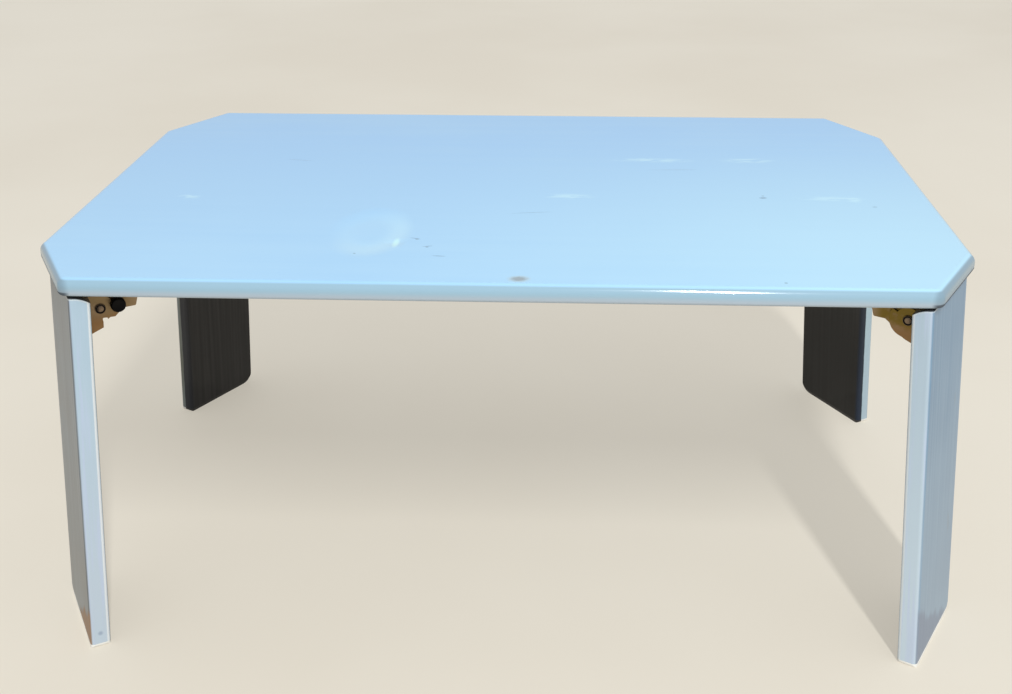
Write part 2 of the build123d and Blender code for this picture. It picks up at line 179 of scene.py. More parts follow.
# %% [markdown]
# ## One recipe for every finish
#
# Every finish ends in the same shader, with a few sockets that vary over the surface (colour,
# roughness, coat, bump) and a few plain numbers (metal, specular). This helper makes the material,
# hands the recipe a signal with the surface's coordinates, and wires up what it returns. The
# coordinates are Object coordinates: each part's mesh holds its real place, so a finish knows
# where on the table it is, and it moves with the leg when the leg folds.

# %% The material helper
def finish(name, recipe, turn=None, **constants):
    """Makes a material. recipe turns coordinates into sockets; turn is the frame they are in."""
    material = bpy.data.materials.new(name)
    material.use_nodes = True
    tree = material.node_tree
    shader = tree.nodes["Principled BSDF"]
    start = Signal(tree)
    place = start.node("ShaderNodeTexCoord", output="Object")
    if turn is not None:
        back = turn.inverted()
        place = place.moved(location=back.translation, rotation=back.to_euler("XYZ"))
    varying = recipe(place)
    if "Height" in varying:
        strength, distance, height = varying.pop("Height")
        inputs = {"Strength": strength, "Distance": distance, "Height": height}
        varying["Normal"] = start.node("ShaderNodeBump", {}, inputs)
    for socket, signal in varying.items():
        tree.links.new(signal.socket, shader.inputs[socket])
    for socket, value in constants.items():
        shader.inputs[socket.replace("_", " ")].default_value = value
    return material


def dress(node_name, material):
    """Gives a CAD part its finish."""
    part = nodes[node_name]
    part.data.materials.clear()
    part.data.materials.append(material)

# %% [markdown]
# ## The board's lacquer
#
# The real board is a flat panel sprayed in gloss lacquer. Such a surface is never perfectly even:
# the spray leaves a faint orange-peel ripple, wiping leaves long soft streaks, glossier and with a
# painted highlight, and years of meals leave scratches, specks and a chip on the front edge. Each
# of those is one term of the recipe, so that it can be made stronger or weaker without touching
# the rest.

# %% Named wear and painted light on the board
BOARD_TOP = 0.332
UNDERSIDE = 0.318
CUT_LENGTHWISE = 0.045
CUT_DEPTHWISE = 0.080
CUT_WIDTH = (CUT_LENGTHWISE**2 + CUT_DEPTHWISE**2) ** 0.5
CUT_REACH = 0.4101  # from the middle of the board, square to the line of a cut corner
SEAM_TOP = 0.3222  # the highest that the painted shadow reaches on the edge over a leg
DENT_PLACE = (-0.1105, -0.1340)
DENT_HALF = (0.0270, 0.0460)
RIM_LEAN = 18.0  # per metre, how much the painted sheen on the dent's rim leans towards the front
SPOT_PLACE = (-0.0865, -0.1590)
SPOT_RADIUS = 0.0085
GLINT_HALF = (0.0032, 0.0125)  # half sizes of the painted glint on the spot
CHIP_PLACE = (0.0166, -0.2350)
CHIP_HALF = (0.0068, 0.0052)
CHIP_TURN = 0.1
SPECKS = (
    # x, y, radius
    (0.2161, -0.2359, 0.0018),
    (0.2256, -0.0286, 0.0016),
    (-0.1160, -0.1850, 0.0015),
    (-0.0702, -0.1512, 0.0019),
    (-0.0600, -0.1693, 0.0016),
)
SCRATCHES = (
    # x, y, turn, half length, half width
    (-0.0718, -0.1496, -0.35, 0.0060, 0.0009),
    (-0.0598, -0.1674, 0.25, 0.0055, 0.0008),
    (-0.0488, -0.1890, -0.10, 0.0070, 0.0009),
    (0.2249, -0.0343, 0.05, 0.0044, 0.0026),
    (0.3193, -0.0558, 0.10, 0.0030, 0.0012),
    (0.0202, -0.0817, 0.15, 0.0240, 0.0005),
    (0.1503, 0.0482, 0.05, 0.0300, 0.0005),
    (-0.2101, 0.0672, -0.20, 0.0180, 0.0005),
)
STREAKS = (
    # x, y, half length, half width: long soft wipe marks, glossier, with a painted highlight
    (0.1340, 0.0790, 0.0430, 0.0085),
    (0.2260, 0.0805, 0.0280, 0.0095),
    (0.0520, -0.0360, 0.0250, 0.0090),
    (0.2845, -0.0345, 0.0330, 0.0080),
    (0.3050, -0.0365, 0.0075, 0.0110),
    (-0.2870, -0.0495, 0.0120, 0.0080),
)
# painted light: the top is lighter at the front and lighter still at the near right
SKY_FRONT = paint(167, 215, 249)
SKY_BACK = paint(149, 204, 250)
SKY_CLOUD = paint(158, 209, 248)
PAINTED_LIGHT_RIGHT = paint(188, 234, 252)
# painted shade on the edge: darker than the top, greyer low down as a painted floor reflection,
# darkest on the cut corners
EDGE_SHADE_UPPER = paint(147, 181, 201)
EDGE_FLOOR_REFLECTION = paint(166, 181, 194)
CUT_EDGE_SHADE = paint(112, 134, 150)
# painted shadow of the gap between a leg's top and the board
SEAM_SHADOW = paint(66, 74, 84)
# painted reflection in the dent, and a painted glint on its spot
DENT_SHEEN = paint(184, 230, 255)
GLINT_WHITE = paint(202, 250, 255)
# painted highlight on the wipe streaks
STREAK_HIGHLIGHT = paint(190, 236, 255)
SCRATCH_BLUE = paint(100, 136, 164)
SPECK_GREY = paint(108, 138, 156)
CHIP_PALE = paint(176, 204, 216)
CHIP_BROWN = paint(126, 118, 104)

# heights where one shade of the edge runs into the next
RIM_FADE = (BOARD_TOP - 0.0003, BOARD_TOP - 0.0018)
EDGE_FADE = (BOARD_TOP - 0.006, UNDERSIDE + 0.0025)
COAT_FADE = (BOARD_TOP - 0.0050, BOARD_TOP - 0.0085)
SEAM_FADE = (SEAM_TOP, SEAM_TOP - 0.0012)
# distances from the middle of the board where the edge of a cut corner begins
CUT_FADE = (CUT_REACH - 0.008, CUT_REACH - 0.003)


def oval(x, y, place, half_length, half_width, turn=0.0):
    """Distance from an oval's centre, with 1 on its rim."""
    along = (x - place[0]) * cos(turn) + (y - place[1]) * sin(turn)
    across = (y - place[1]) * cos(turn) - (x - place[0]) * sin(turn)
    return ((along / half_length) ** 2.0 + (across / half_width) ** 2.0) ** 0.5


def dent_distance(x, y):
    return oval(x, y, DENT_PLACE, *DENT_HALF)


print("named marks on the board:", 1 + len(SPECKS) + len(SCRATCHES) + len(STREAKS))

# %% The board's colour
def board_colour(place, cloud, drawn):
    """Sky blue with painted light: front and right lighter, edge and cut corners in painted shade,
    greyer low down as a painted floor reflection, and a painted shadow along a leg's top.
    """
    x, y, z = place.split()
    # painted light: lighter towards the front and at the near right
    base = y.step(-0.24, 0.22).blend(SKY_FRONT, SKY_BACK)
    base = ((cloud * 0.6 + drawn * 0.4).step(0.40, 0.66) * 0.6).blend(base, SKY_CLOUD)
    base = (x.step(-0.15, 0.36) * y.step(0.24, -0.20) * 0.6).blend(base, PAINTED_LIGHT_RIGHT)
    edge = z.step(*RIM_FADE) * dent_distance(x, y).step(1.4, 1.6)
    base = edge.blend(base, EDGE_SHADE_UPPER)
    base = z.step(*EDGE_FADE).blend(base, EDGE_FLOOR_REFLECTION)
    base = (cut_corner(x, y) * edge * 0.55).blend(base, CUT_EDGE_SHADE)
    return (painted_seam_shadow(x, y, z) * 0.9).blend(base, SEAM_SHADOW)


def cut_corner(x, y):
    """1 on the edge of a cut corner."""
    slant = (abs(x) * CUT_DEPTHWISE + abs(y) * CUT_LENGTHWISE) / CUT_WIDTH
    return slant.step(*CUT_FADE)


def painted_seam_shadow(x, y, z):
    """A painted shadow low on the edge of a cut corner, over a leg's top."""
    return cut_corner(x, y) * z.step(*SEAM_FADE)


def painted_dent_sheen(x, y, base):
    """Painted reflection: the dent is paler, most along its near right rim, with a painted glint
    on the spot.
    """
    from_dent = dent_distance(x, y)
    base = (from_dent.step(1.30, 0.70) * 0.16).blend(base, DENT_SHEEN)
    rightwards = (x - DENT_PLACE[0]) / DENT_HALF[0]
    near_right = (rightwards - (y - DENT_PLACE[1]) * RIM_LEAN).step(-1.2, 1.1)
    rim = from_dent.step(0.30, 0.85) * from_dent.step(1.40, 0.90) * near_right
    base = (rim * 0.65).blend(base, DENT_SHEEN)
    # painted glint on the spot
    glint = oval(x, y, SPOT_PLACE, *GLINT_HALF).step(1.2, 0.3)
    return (glint * 0.9).blend(base, GLINT_WHITE)


print("edge of the board:", round(BOARD_TOP - UNDERSIDE, 4), "m high")

# %% The board's recipe
def sky_lacquer(place):
    x, y, z = place.split()
    cloud = place.noise(6.0, detail=3.0, seed=1.0)
    drawn = place.drawn_noise((3, 60, 60), 4.0, 2.0)
    base = painted_dent_sheen(x, y, board_colour(place, cloud, drawn))
    peel = place.noise(190.0, detail=2.0, seed=3.0)
    wave = place.drawn_noise((4, 14, 14), 2.0, 4.0)
    height = peel * 0.05 + wave * 0.4
    rough = 0.08 + drawn * 0.06 + cloud.step(0.5, 0.8) * 0.04
    ragged = place.noise(420.0, detail=3.0, seed=5.0) * 0.5
    flecks = place.drawn_noise((70, 180, 70), 4.0, 6.0)
    for px, py, half_length, half_width in STREAKS:
        mask = (oval(x, y, (px, py), half_length, half_width) + ragged * 0.6).step(1.3, 0.3)
        mask = mask * flecks.step(0.38, 0.58)
        # painted highlight: the streak is lighter in colour, and it is also glossier
        base = (mask * 0.75).blend(base, STREAK_HIGHLIGHT)
        rough = rough - mask * 0.06
    for px, py, turn, half_length, half_width in SCRATCHES:
        mask = (oval(x, y, (px, py), half_length, half_width, turn) + ragged).step(1.25, 0.65)
        base = (mask * 0.75).blend(base, SCRATCH_BLUE)
        height = height - mask * 0.15
        rough = rough + mask * 0.2
    for px, py, radius in SPECKS:
        mask = (oval(x, y, (px, py), radius, radius) + ragged).step(1.3, 0.7)
        base = (mask * 0.5).blend(base, SPECK_GREY)
        height = height - mask * 0.15
    chip = oval(x, y, CHIP_PLACE, *CHIP_HALF, CHIP_TURN) + ragged
    base = (chip.step(1.8, 1.2) * 0.6).blend(base, CHIP_PALE)
    base = (chip.step(1.45, 0.7) * 0.55).blend(base, CHIP_BROWN)
    height = height - chip.step(1.3, 0.9) * 0.4
    rough = rough + chip.step(1.3, 0.9) * 0.3
    # painted shadow over the leg's top, which also roughens the edge there
    grime_and_shade = painted_seam_shadow(x, y, z)
    thin = z.step(*COAT_FADE)
    rough = rough + thin * 0.15 + grime_and_shade * 0.5
    coat = (1.0 - thin) * 0.4
    varying = {"Base Color": base, "Roughness": rough, "Coat Weight": coat}
    return varying | {"Height": (0.35, 0.0006, height)}


board_lacquer = finish("board_lacquer", sky_lacquer, Coat_Roughness=0.03)
print("board lacquer:", len(board_lacquer.node_tree.nodes), "nodes")

# %% [markdown]
# ## The black underside
#
# A cheap board is finished only where it shows. Its underside, like the inner face of each leg, is
# a thin matt black coat over the panel, with brush drag and a little dust.

# %% Underside finish
UNDERSIDE_BLACK = paint(38, 37, 36)
UNDERSIDE_BRUSHED = paint(52, 50, 48)
DUST = paint(92, 88, 82)


def black_coat(place):
    drag = place.drawn_noise((8, 160, 160), 4.0, 11.0)
    dust = place.noise(30.0, detail=5.0, seed=12.0)
    base = drag.step(0.3, 0.75).blend(UNDERSIDE_BLACK, UNDERSIDE_BRUSHED)
    base = (dust.step(0.58, 0.8) * 0.4).blend(base, DUST)
    return {"Base Color": base, "Roughness": 0.5 + drag * 0.2, "Height": (0.3, 0.0004, drag)}


underside_coat = finish("underside_coat", black_coat)
print("underside coat:", len(underside_coat.node_tree.nodes), "nodes")

# %% [markdown]
# ## The board
#
# The board could be the CAD solid, but its upper face carries a shallow dent from something hot,
# and a dent is a shape, not a colour. So the board is built again as a mesh: the edge's profile is
# carried round the rounded octagon, and the flat upper face is cut into a grid that is fine enough
# to be pressed in. The outline and the profile are the CAD part's own sizes. The screw holes in
# the underside are left out, because the hinge plates cover them.

# %% The board's outline and edge profile
HALF_LENGTH = 0.375
HALF_DEPTH = 0.250
CORNER_RADIUS = 0.009
CORNER_STEPS = 6
UPPER_RADIUS = 0.007
LOWER_RADIUS = 0.003
UPPER_STEPS = 10
LOWER_STEPS = 6
RIM_LOOP = 0.0006  # a last narrow loop on the flat face keeps its shading flat


def octagon(inset):
    """The board's eight sharp corners, moved in by inset, anticlockwise from the front left."""
    corner_x = HALF_LENGTH - CUT_LENGTHWISE
    corner_y = HALF_DEPTH - CUT_DEPTHWISE
    end = corner_x - inset * (CUT_WIDTH - CUT_LENGTHWISE) / CUT_DEPTHWISE
    side = corner_y - inset * (CUT_WIDTH - CUT_DEPTHWISE) / CUT_LENGTHWISE
    x, y = HALF_LENGTH - inset, HALF_DEPTH - inset
    right = [(end, -y), (x, -side), (x, side), (end, y)]
    return right + [(-px, -py) for px, py in right]


def outline(inset):
    """The octagon with its corners rounded; an inset outline has a smaller radius."""
    radius = CORNER_RADIUS - inset
    sharp = [Vector(corner) for corner in octagon(inset)]
    points = []
    for i, corner in enumerate(sharp):
        before = (sharp[i - 1] - corner).normalized()
        after = (sharp[(i + 1) % len(sharp)] - corner).normalized()
        half_angle = before.angle(after) / 2
        centre = corner + (before + after).normalized() * radius / sin(half_angle)
        start = corner + before * radius / tan(half_angle) - centre
        sweep = pi - 2 * half_angle
        for step in range(CORNER_STEPS + 1):
            turn = Matrix.Rotation(sweep * step / CORNER_STEPS, 2)
            points.append(centre + turn @ start)
    return points


def edge_profile():
    """(inset, height) from the underside, up the edge, to the rim of the flat upper face."""
    points = []
    for step in range(LOWER_STEPS + 1):
        angle = pi / 2 * step / LOWER_STEPS
        rise = LOWER_RADIUS * (1 - cos(angle))
        points.append((LOWER_RADIUS * (1 - sin(angle)), UNDERSIDE + rise))
    for step in range(UPPER_STEPS + 1):
        angle = pi / 2 * step / UPPER_STEPS
        drop = UPPER_RADIUS * (1 - sin(angle))
        points.append((UPPER_RADIUS * (1 - cos(angle)), BOARD_TOP - drop))
    points.append((UPPER_RADIUS + RIM_LOOP, BOARD_TOP))
    return points


print("edge profile:", len(edge_profile()), "points; outline:", len(outline(0)), "points")

# %% Cutting a flat face into a grid
COARSE_GRID = 0.0250
FINE_GRID = 0.0025


def grid_lines(low, high, fine_low, fine_high):
    """Cutting places from low to high, close together between fine_low and fine_high."""
    lines = []
    at = low + COARSE_GRID
    while at < high - COARSE_GRID / 2:
        lines.append(at)
        at += FINE_GRID if fine_low < at < fine_high else COARSE_GRID
    return lines


def cut_face(mesh, faces, axis, places):
    """Cuts flat faces by planes square to one axis, and returns all the faces it leaves."""
    normal = Vector((1, 0, 0)) if axis == 0 else Vector((0, 1, 0))
    for place in places:
        whole = set(faces)
        whole |= {edge for face in faces for edge in face.edges}
        whole |= {vertex for face in faces for vertex in face.verts}
        cut = bmesh.ops.bisect_plane(
            mesh, geom=list(whole), plane_co=normal * place, plane_no=normal
        )
        faces = [item for item in cut["geom"] if isinstance(item, bmesh.types.BMFace)]
    return faces


print("grid:", COARSE_GRID, "m, and", FINE_GRID, "m round the dent")

# %% The board mesh, still flat
DENT_ROOM = 1.5  # how far the fine grid reaches, in half sizes of the dent


def board_mesh():
    mesh = bmesh.new()
    rings = []
    for inset, height in edge_profile():
        rings.append([mesh.verts.new((x, y, height)) for x, y in outline(inset)])
    count = len(rings[0])
    for lower, upper in zip(rings, rings[1:]):
        for i in range(count):
            k = (i + 1) % count
            mesh.faces.new((lower[i], lower[k], upper[k], upper[i]))
    under = mesh.faces.new(list(reversed(rings[0])))
    under.material_index = 1
    upper_face = mesh.faces.new(rings[-1])
    upper_face.normal_update()
    faces = [upper_face]
    for axis, reach in enumerate((HALF_LENGTH, HALF_DEPTH)):
        room = DENT_HALF[axis] * DENT_ROOM
        middle = DENT_PLACE[axis]
        places = grid_lines(-reach, reach, middle - room, middle + room)
        faces = cut_face(mesh, faces, axis, places)
    for face in mesh.faces:
        face.smooth = face.material_index == 0
    bmesh.ops.recalc_face_normals(mesh, faces=mesh.faces)
    data = bpy.data.meshes.new("board")
    mesh.to_mesh(data)
    mesh.free()
    return data


def add_piece(name, data):
    piece = bpy.data.objects.new(name, data)
    bpy.context.scene.collection.objects.link(piece)
    return piece


flat_board = board_mesh()
print("flat board:", len(flat_board.polygons), "faces")

# %% [markdown]
# ## Geometry Nodes from a script
#
# Geometry Nodes are a second kind of node program, one that makes shapes. They suit whatever
# follows a rule or is repeated: here the dent, the screws, the nails and the springs. Three
# helpers are enough: one starts a tree with named inputs, one ends it with real geometry and a
# material, and one runs it on a base mesh and keeps only the plain mesh that comes out, because
# an exported model has no use for instances or live modifiers.

# %% Starting, ending and running a tree
SOCKET_KINDS = {
    "size": "NodeSocketFloat",
    "count": "NodeSocketInt",
    "material": "NodeSocketMaterial",
}


def start_tree(name, **sizes):
    """Makes a tree; sizes gives each named input its kind. Returns the inputs as signals."""
    tree = bpy.data.node_groups.new(name, "GeometryNodeTree")
    tree.interface.new_socket("Geometry", in_out="OUTPUT", socket_type="NodeSocketGeometry")
    tree.interface.new_socket("Geometry", in_out="INPUT", socket_type="NodeSocketGeometry")
    tree.interface.new_socket("Material", in_out="INPUT", socket_type="NodeSocketMaterial")
    for size, kind in sizes.items():
        tree.interface.new_socket(size, in_out="INPUT", socket_type=SOCKET_KINDS[kind])
    entry = tree.nodes.new("NodeGroupInput")
    return {socket.name: Signal(tree, socket) for socket in entry.outputs if socket.name}


def end_tree(given, geometry, also=()):
    """also lists (selection, material) pairs for faces that differ from the rest."""
    real = geometry.node("GeometryNodeRealizeInstances", {}, {"Geometry": geometry})
    inputs = {"Geometry": real, "Material": given["Material"]}
    finished = real.node("GeometryNodeSetMaterial", {}, inputs)
    for chosen, material in also:
        inputs = {"Geometry": finished, "Selection": chosen, "Material": material}
        finished = real.node("GeometryNodeSetMaterial", {}, inputs)
    leave = finished.tree.nodes.new("NodeGroupOutput")
    finished.tree.links.new(finished.socket, leave.inputs[0])
    return finished.tree


def run_tree(name, tree, base, **values):
    """Runs a tree on a base mesh and returns the result as one plain piece."""
    base_piece = add_piece(f"{name}_base", base)
    modifier = base_piece.modifiers.new(tree.name, "NODES")
    modifier.node_group = tree
    sockets = [item for item in tree.interface.items_tree if item.in_out == "INPUT"]
    for socket in sockets:
        if socket.name in values:
            modifier[socket.identifier] = values[socket.name]
    seen = base_piece.evaluated_get(bpy.context.evaluated_depsgraph_get())
    data = bpy.data.meshes.new_from_object(seen)
    data.name = name
    bpy.data.objects.remove(base_piece)
    return add_piece(name, data)


print("tree helpers ready")

# %% [markdown]
# ### Pressing the dent
#
# The dent is an oval about as long as a hand is wide. Its floor is nearly flat and its rim is
# soft, with one sharper spot at the near right, which the lacquer's colour marks with a painted
# glint. Its depth is a formula of the place on the board, so the tree only moves points down; the
# same `oval` that draws marks in the lacquer gives the distance from the dent's middle.

# %% The dent
FLAT_TOLERANCE = 0.0001
FACING_DOWN = -0.9  # a face whose normal has less height than this looks down


def dent_tree():
    given = start_tree("dent", Depth="size", Spot="size", Underside="material")
    place = given["Depth"].node("GeometryNodeInputPosition")
    x, y, z = place.split()
    pressed = dent_distance(x, y).step(1.35, 0.60) * given["Depth"]
    spot = oval(x, y, SPOT_PLACE, SPOT_RADIUS, SPOT_RADIUS).step(1.2, 0.2) * given["Spot"]
    on_top = z.math("GREATER_THAN", z, BOARD_TOP - FLAT_TOLERANCE)
    down = z.node("ShaderNodeCombineXYZ", {}, {"Z": (pressed + spot) * -1.0})
    inputs = {"Geometry": given["Geometry"], "Selection": on_top, "Offset": down}
    dented = down.node("GeometryNodeSetPosition", {}, inputs)
    facing = dented.node("GeometryNodeInputNormal").split()[2]
    facing_down = facing.math("LESS_THAN", facing, FACING_DOWN)
    below = facing_down * z.math("LESS_THAN", z, UNDERSIDE + FLAT_TOLERANCE)
    return end_tree(given, dented, [(below, given["Underside"])])


DENT = {"Depth": 0.0012, "Spot": 0.0004}
coats = {"Material": board_lacquer, "Underside": underside_coat}
board = run_tree("board", dent_tree(), flat_board, **coats, **DENT)
middle = Vector((*DENT_PLACE, BOARD_TOP))
heights = [v.co.z for v in board.data.vertices if (v.co - middle).length < DENT_HALF[0]]
print("board:", len(board.data.polygons), "faces, dent", round(BOARD_TOP - min(heights), 5))

# %% Handing the board over
BOARD_SHARP = radians(25)  # a steeper edge than this is shaded sharp
board.data.set_sharp_from_angle(angle=BOARD_SHARP)
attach(board, "board")
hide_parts("table_top")
print("board handed over with", len(board.data.materials), "materials")

# %% [markdown]
# ## The legs' two-colour finish
#
# A leg is a plank lacquered pale grey-blue on its outer face and its edges, and black on the face
# that looks under the table. On the rear legs the black reaches over the edge. The pale colours
# carry painted light and shade, which differ from leg to leg. In the leg's own frame the finish is
# simple: x is the depth from the inner face, y runs across the leg and z along it, so the border
# is a threshold on x, made a little uneven by noise.

# %% Named wear, painted light and shade on the legs
INNER_FACE = -0.0125
OUTER_FACE = -0.0290
LEG_HALF_WIDTH = 0.050
LEG_TOP = 0.0271
FOOT_END = -0.2885
EASE_RADIUS = 0.021  # rounds the inner part of the leg's top end
EASE_PLACE = (-0.0262, LEG_TOP - EASE_RADIUS)  # the middle of that rounding, x and z at the hinge
LEG_BLACK = paint(43, 42, 41)
LEG_BLACK_WORN = paint(60, 58, 57)
# a bluish dark band on the black near the rear legs' front edge, stronger towards the foot
BLUE_BLACK = paint(32, 46, 66)
BLUE_BAND = {"front_left": 0.0, "front_right": 0.0, "rear_left": 0.25, "rear_right": 0.8}
LEG_PALE = paint(186, 206, 218)
LEG_LAVENDER = paint(186, 198, 226)
LAVENDER = {"front_left": 0.45, "front_right": 0.45, "rear_left": 0.1, "rear_right": 0.1}
# painted light and shade: each leg has its own lit or shaded tones, the front left's outer face
# grey in painted shade
LEG_LIT_AND_SHADED_TONES = {
    # the outer face above and at the foot, and the edges above and at the foot
    "front_left": ((99, 103, 109), (102, 105, 107), (168, 192, 210), (186, 200, 214)),
    "front_right": ((98, 134, 166), (132, 156, 178), (170, 190, 206), (192, 208, 220)),
    "rear_left": ((128, 148, 163), (140, 158, 172), (99, 100, 90), (104, 105, 94)),
    "rear_right": ((128, 152, 173), (144, 163, 180), (157, 181, 188), (168, 190, 202)),
}
# painted shade: the rear right leg's black grows darker towards the foot
FOOT_SHADE_BLACK = paint(26, 25, 23)
FOOT_SHADE_SHARE = {"front_left": 0.0, "front_right": 0.0, "rear_left": 0.0, "rear_right": 0.7}
# the side of a leg, along y in its own frame, that faces the front
FRONT_SIDE = {"front_left": -1.0, "front_right": 1.0, "rear_left": -1.0, "rear_right": 1.0}
# how far the black goes over the edge
BORDER = {"front_left": 0.0003, "front_right": 0.0003, "rear_left": 0.0100, "rear_right": 0.0062}
# painted highlight along the rounded arrises, on the front legs only
ARRIS_HIGHLIGHT_WHITE = paint(232, 238, 240)
ARRIS_HIGHLIGHT_SHARE = {"front_left": 1.0, "front_right": 0.7, "rear_left": 0.0, "rear_right": 0.0}
FOOT_STAIN = {
    # how strong, how high at the leg's middle, and its colour
    "front_left": (0.85, 0.0061, (160, 126, 96)),
    "front_right": (0.55, 0.0204, (134, 136, 152)),
    "rear_left": (0.30, 0.0080, (134, 136, 152)),
    "rear_right": (0.30, 0.0080, (134, 136, 152)),
}
STAIN_SLOPE = 0.555  # a stain reaches higher on the side that faces the front
STAIN_FADE = (0.005, -0.005)
DIMPLED_LEG = "front_left"
DIMPLE_PLACE = (-0.0207, FOOT_END + 0.0104)
DIMPLE_SHADE = paint(136, 152, 176)
DIMPLE_FADE = (0.0030, 0.0006)
SCUFF_GREY = paint(128, 132, 134)

# depths and heights between which one shade runs into the next
OUTER_FADE = (OUTER_FACE + 0.0016, OUTER_FACE + 0.0004)
ARRIS_OUTER_FADE = (INNER_FACE - 0.0034, INNER_FACE - 0.0024)
ARRIS_INNER_FADE = (INNER_FACE - 0.0006, INNER_FACE - 0.0014)
BLUE_BAND_FADE = (LEG_HALF_WIDTH - 0.006, LEG_HALF_WIDTH)
NARROW_FACE_FADE = (LEG_HALF_WIDTH - 0.0010, LEG_HALF_WIDTH - 0.0005)
TOP_FADE = (0.006, 0.008)
LIP_FADE = (EASE_RADIUS - 0.0018, EASE_RADIUS - 0.0010)
END_FADE = (EASE_RADIUS - 0.0004, EASE_RADIUS - 0.0002)
print("leg:", round(INNER_FACE - OUTER_FACE, 4), "m thick and", 2 * LEG_HALF_WIDTH, "m wide")

# %% Marks on a leg, as masks
def distance(across, along):
    return (across**2.0 + along**2.0) ** 0.5


def top_end(x, z):
    """A painted highlight on the lip of the leg's top end, and the black end, both in the corner's
    frame.
    """
    inwards = x * cos(SPLAY) + z * sin(SPLAY) - EASE_PLACE[0]
    level = z * cos(SPLAY) - x * sin(SPLAY) - EASE_PLACE[1]
    reach = distance(inwards, level)
    upper = level.step(*TOP_FADE)
    return reach.step(*LIP_FADE) * upper, reach.step(*END_FADE) * upper


def highlit_arris(x):
    """1 along the arris between the edge and the inner face."""
    return x.step(*ARRIS_OUTER_FADE) * x.step(*ARRIS_INNER_FADE)


def foot_dimple(x, z, frontwards):
    """A small round mark on the narrow face, just above the foot."""
    reach = distance(x - DIMPLE_PLACE[0], z - DIMPLE_PLACE[1])
    return reach.step(*DIMPLE_FADE) * frontwards.step(*NARROW_FACE_FADE)


print("dimple", round(DIMPLE_PLACE[1] - FOOT_END, 4), "m above the foot's end")

# %% Leg finish
def leg_recipe(name):
    outer_top, outer_foot, edge_top, edge_foot = [paint(*shade) for shade in LEG_LIT_AND_SHADED_TONES[name]]
    border = INNER_FACE - BORDER[name]

    def recipe(place):
        x, y, z = place.split()
        grain = place.drawn_noise((240, 240, 5), 4.0, 21.0)
        cloud = place.noise(14.0, detail=3.0, seed=22.0)
        uneven = (grain * 0.6 + cloud * 0.4).step(0.30, 0.70)
        outer = x.step(*OUTER_FADE)
        down = z.step(LEG_TOP, FOOT_END)
        # painted light and shade from the leg's own lit and shaded tones, mostly lighter at the
        # foot
        light = outer.blend(down.blend(edge_top, edge_foot), down.blend(outer_top, outer_foot))
        light = (uneven * 0.25).blend(light, LEG_PALE)
        drift = place.drawn_noise((260, 260, 9), 3.0, 26.0)
        lavender = drift.step(0.48, 0.62) * (1.0 - outer) * LAVENDER[name]
        light = lavender.blend(light, LEG_LAVENDER)
        rub = place.drawn_noise((90, 90, 24), 5.0, 23.0)
        scuff = rub.step(0.66, 0.74)
        light = (scuff * outer * 0.4).blend(light, SCUFF_GREY)
        strength, reach, shade = FOOT_STAIN[name]
        frontwards = y * FRONT_SIDE[name]
        climb = FOOT_END + reach + frontwards * STAIN_SLOPE + (rub - 0.5) * 0.03
        stain = (z - climb).step(*STAIN_FADE) * strength
        light = (stain * outer).blend(light, paint(*shade))
        dark = grain.step(0.35, 0.75).blend(LEG_BLACK, LEG_BLACK_WORN)
        # painted shade, darker towards the foot
        dark = (down.step(0.3, 0.9) * FOOT_SHADE_SHARE[name]).blend(dark, FOOT_SHADE_BLACK)
        wander = (place.noise(60.0, detail=2.0, seed=24.0) - 0.5) * (BORDER[name] * 0.2)
        soft = BORDER[name] * 0.08
        black = (x + wander).step(border - soft, border + soft)
        # bluish dark band near the front edge, stronger towards the foot
        blue_band = frontwards.step(*BLUE_BAND_FADE) * (0.1 + down * 0.9)
        dark = (blue_band * BLUE_BAND[name]).blend(dark, BLUE_BLACK)
        # painted highlight along the arris
        light = (highlit_arris(x) * ARRIS_HIGHLIGHT_SHARE[name] * 0.8).blend(light, ARRIS_HIGHLIGHT_WHITE)
        if name == DIMPLED_LEG:
            light = (foot_dimple(x, z, frontwards) * 0.65).blend(light, DIMPLE_SHADE)
        lip, end = top_end(x, z)
        # painted highlight along the lip of the top end
        light = (lip * ARRIS_HIGHLIGHT_SHARE[name] * 0.4).blend(light, ARRIS_HIGHLIGHT_WHITE)
        base = (end * 0.8).blend(black.blend(light, dark), LEG_BLACK)
        rough = 0.28 + cloud * 0.10 + black * 0.22 + stain * 0.25
        fine = place.noise(220.0, detail=2.0, seed=25.0)
        height = grain * 0.35 + fine * 0.12 - scuff * outer * 0.2
        return {"Base Color": base, "Roughness": rough, "Height": (0.30, 0.0005, height)}
    return recipe


for name in CORNERS:
    lacquer = finish(
        f"{name}_leg_lacquer", leg_recipe(name), leg_frame[name], Specular_IOR_Level=0.3
    )
    dress(f"{name}_leg", lacquer)
print("leg finishes:", len(CORNERS))

# %% [markdown]
# ## The foot pads
#
# Under each foot is a thin white plastic pad that keeps the plank off the floor. It shows as a
# pale line, rubbed grey where it meets the floor. At the rear the legs' black reaches over the
# pads too.

# %% Foot pad finish
FOOT_SHIFT = -FOOT_END * tan(SPLAY)  # how far the splay moves the foot outwards
BLACK_EDGE_SOFTNESS = 0.0004
RUB_FADE = (FOOT_END + 0.0007, FOOT_END + 0.0001)
PAD_WHITE = paint(242, 242, 238)
PAD_AGED = paint(226, 224, 218)
PAD_RUBBED = paint(176, 172, 164)


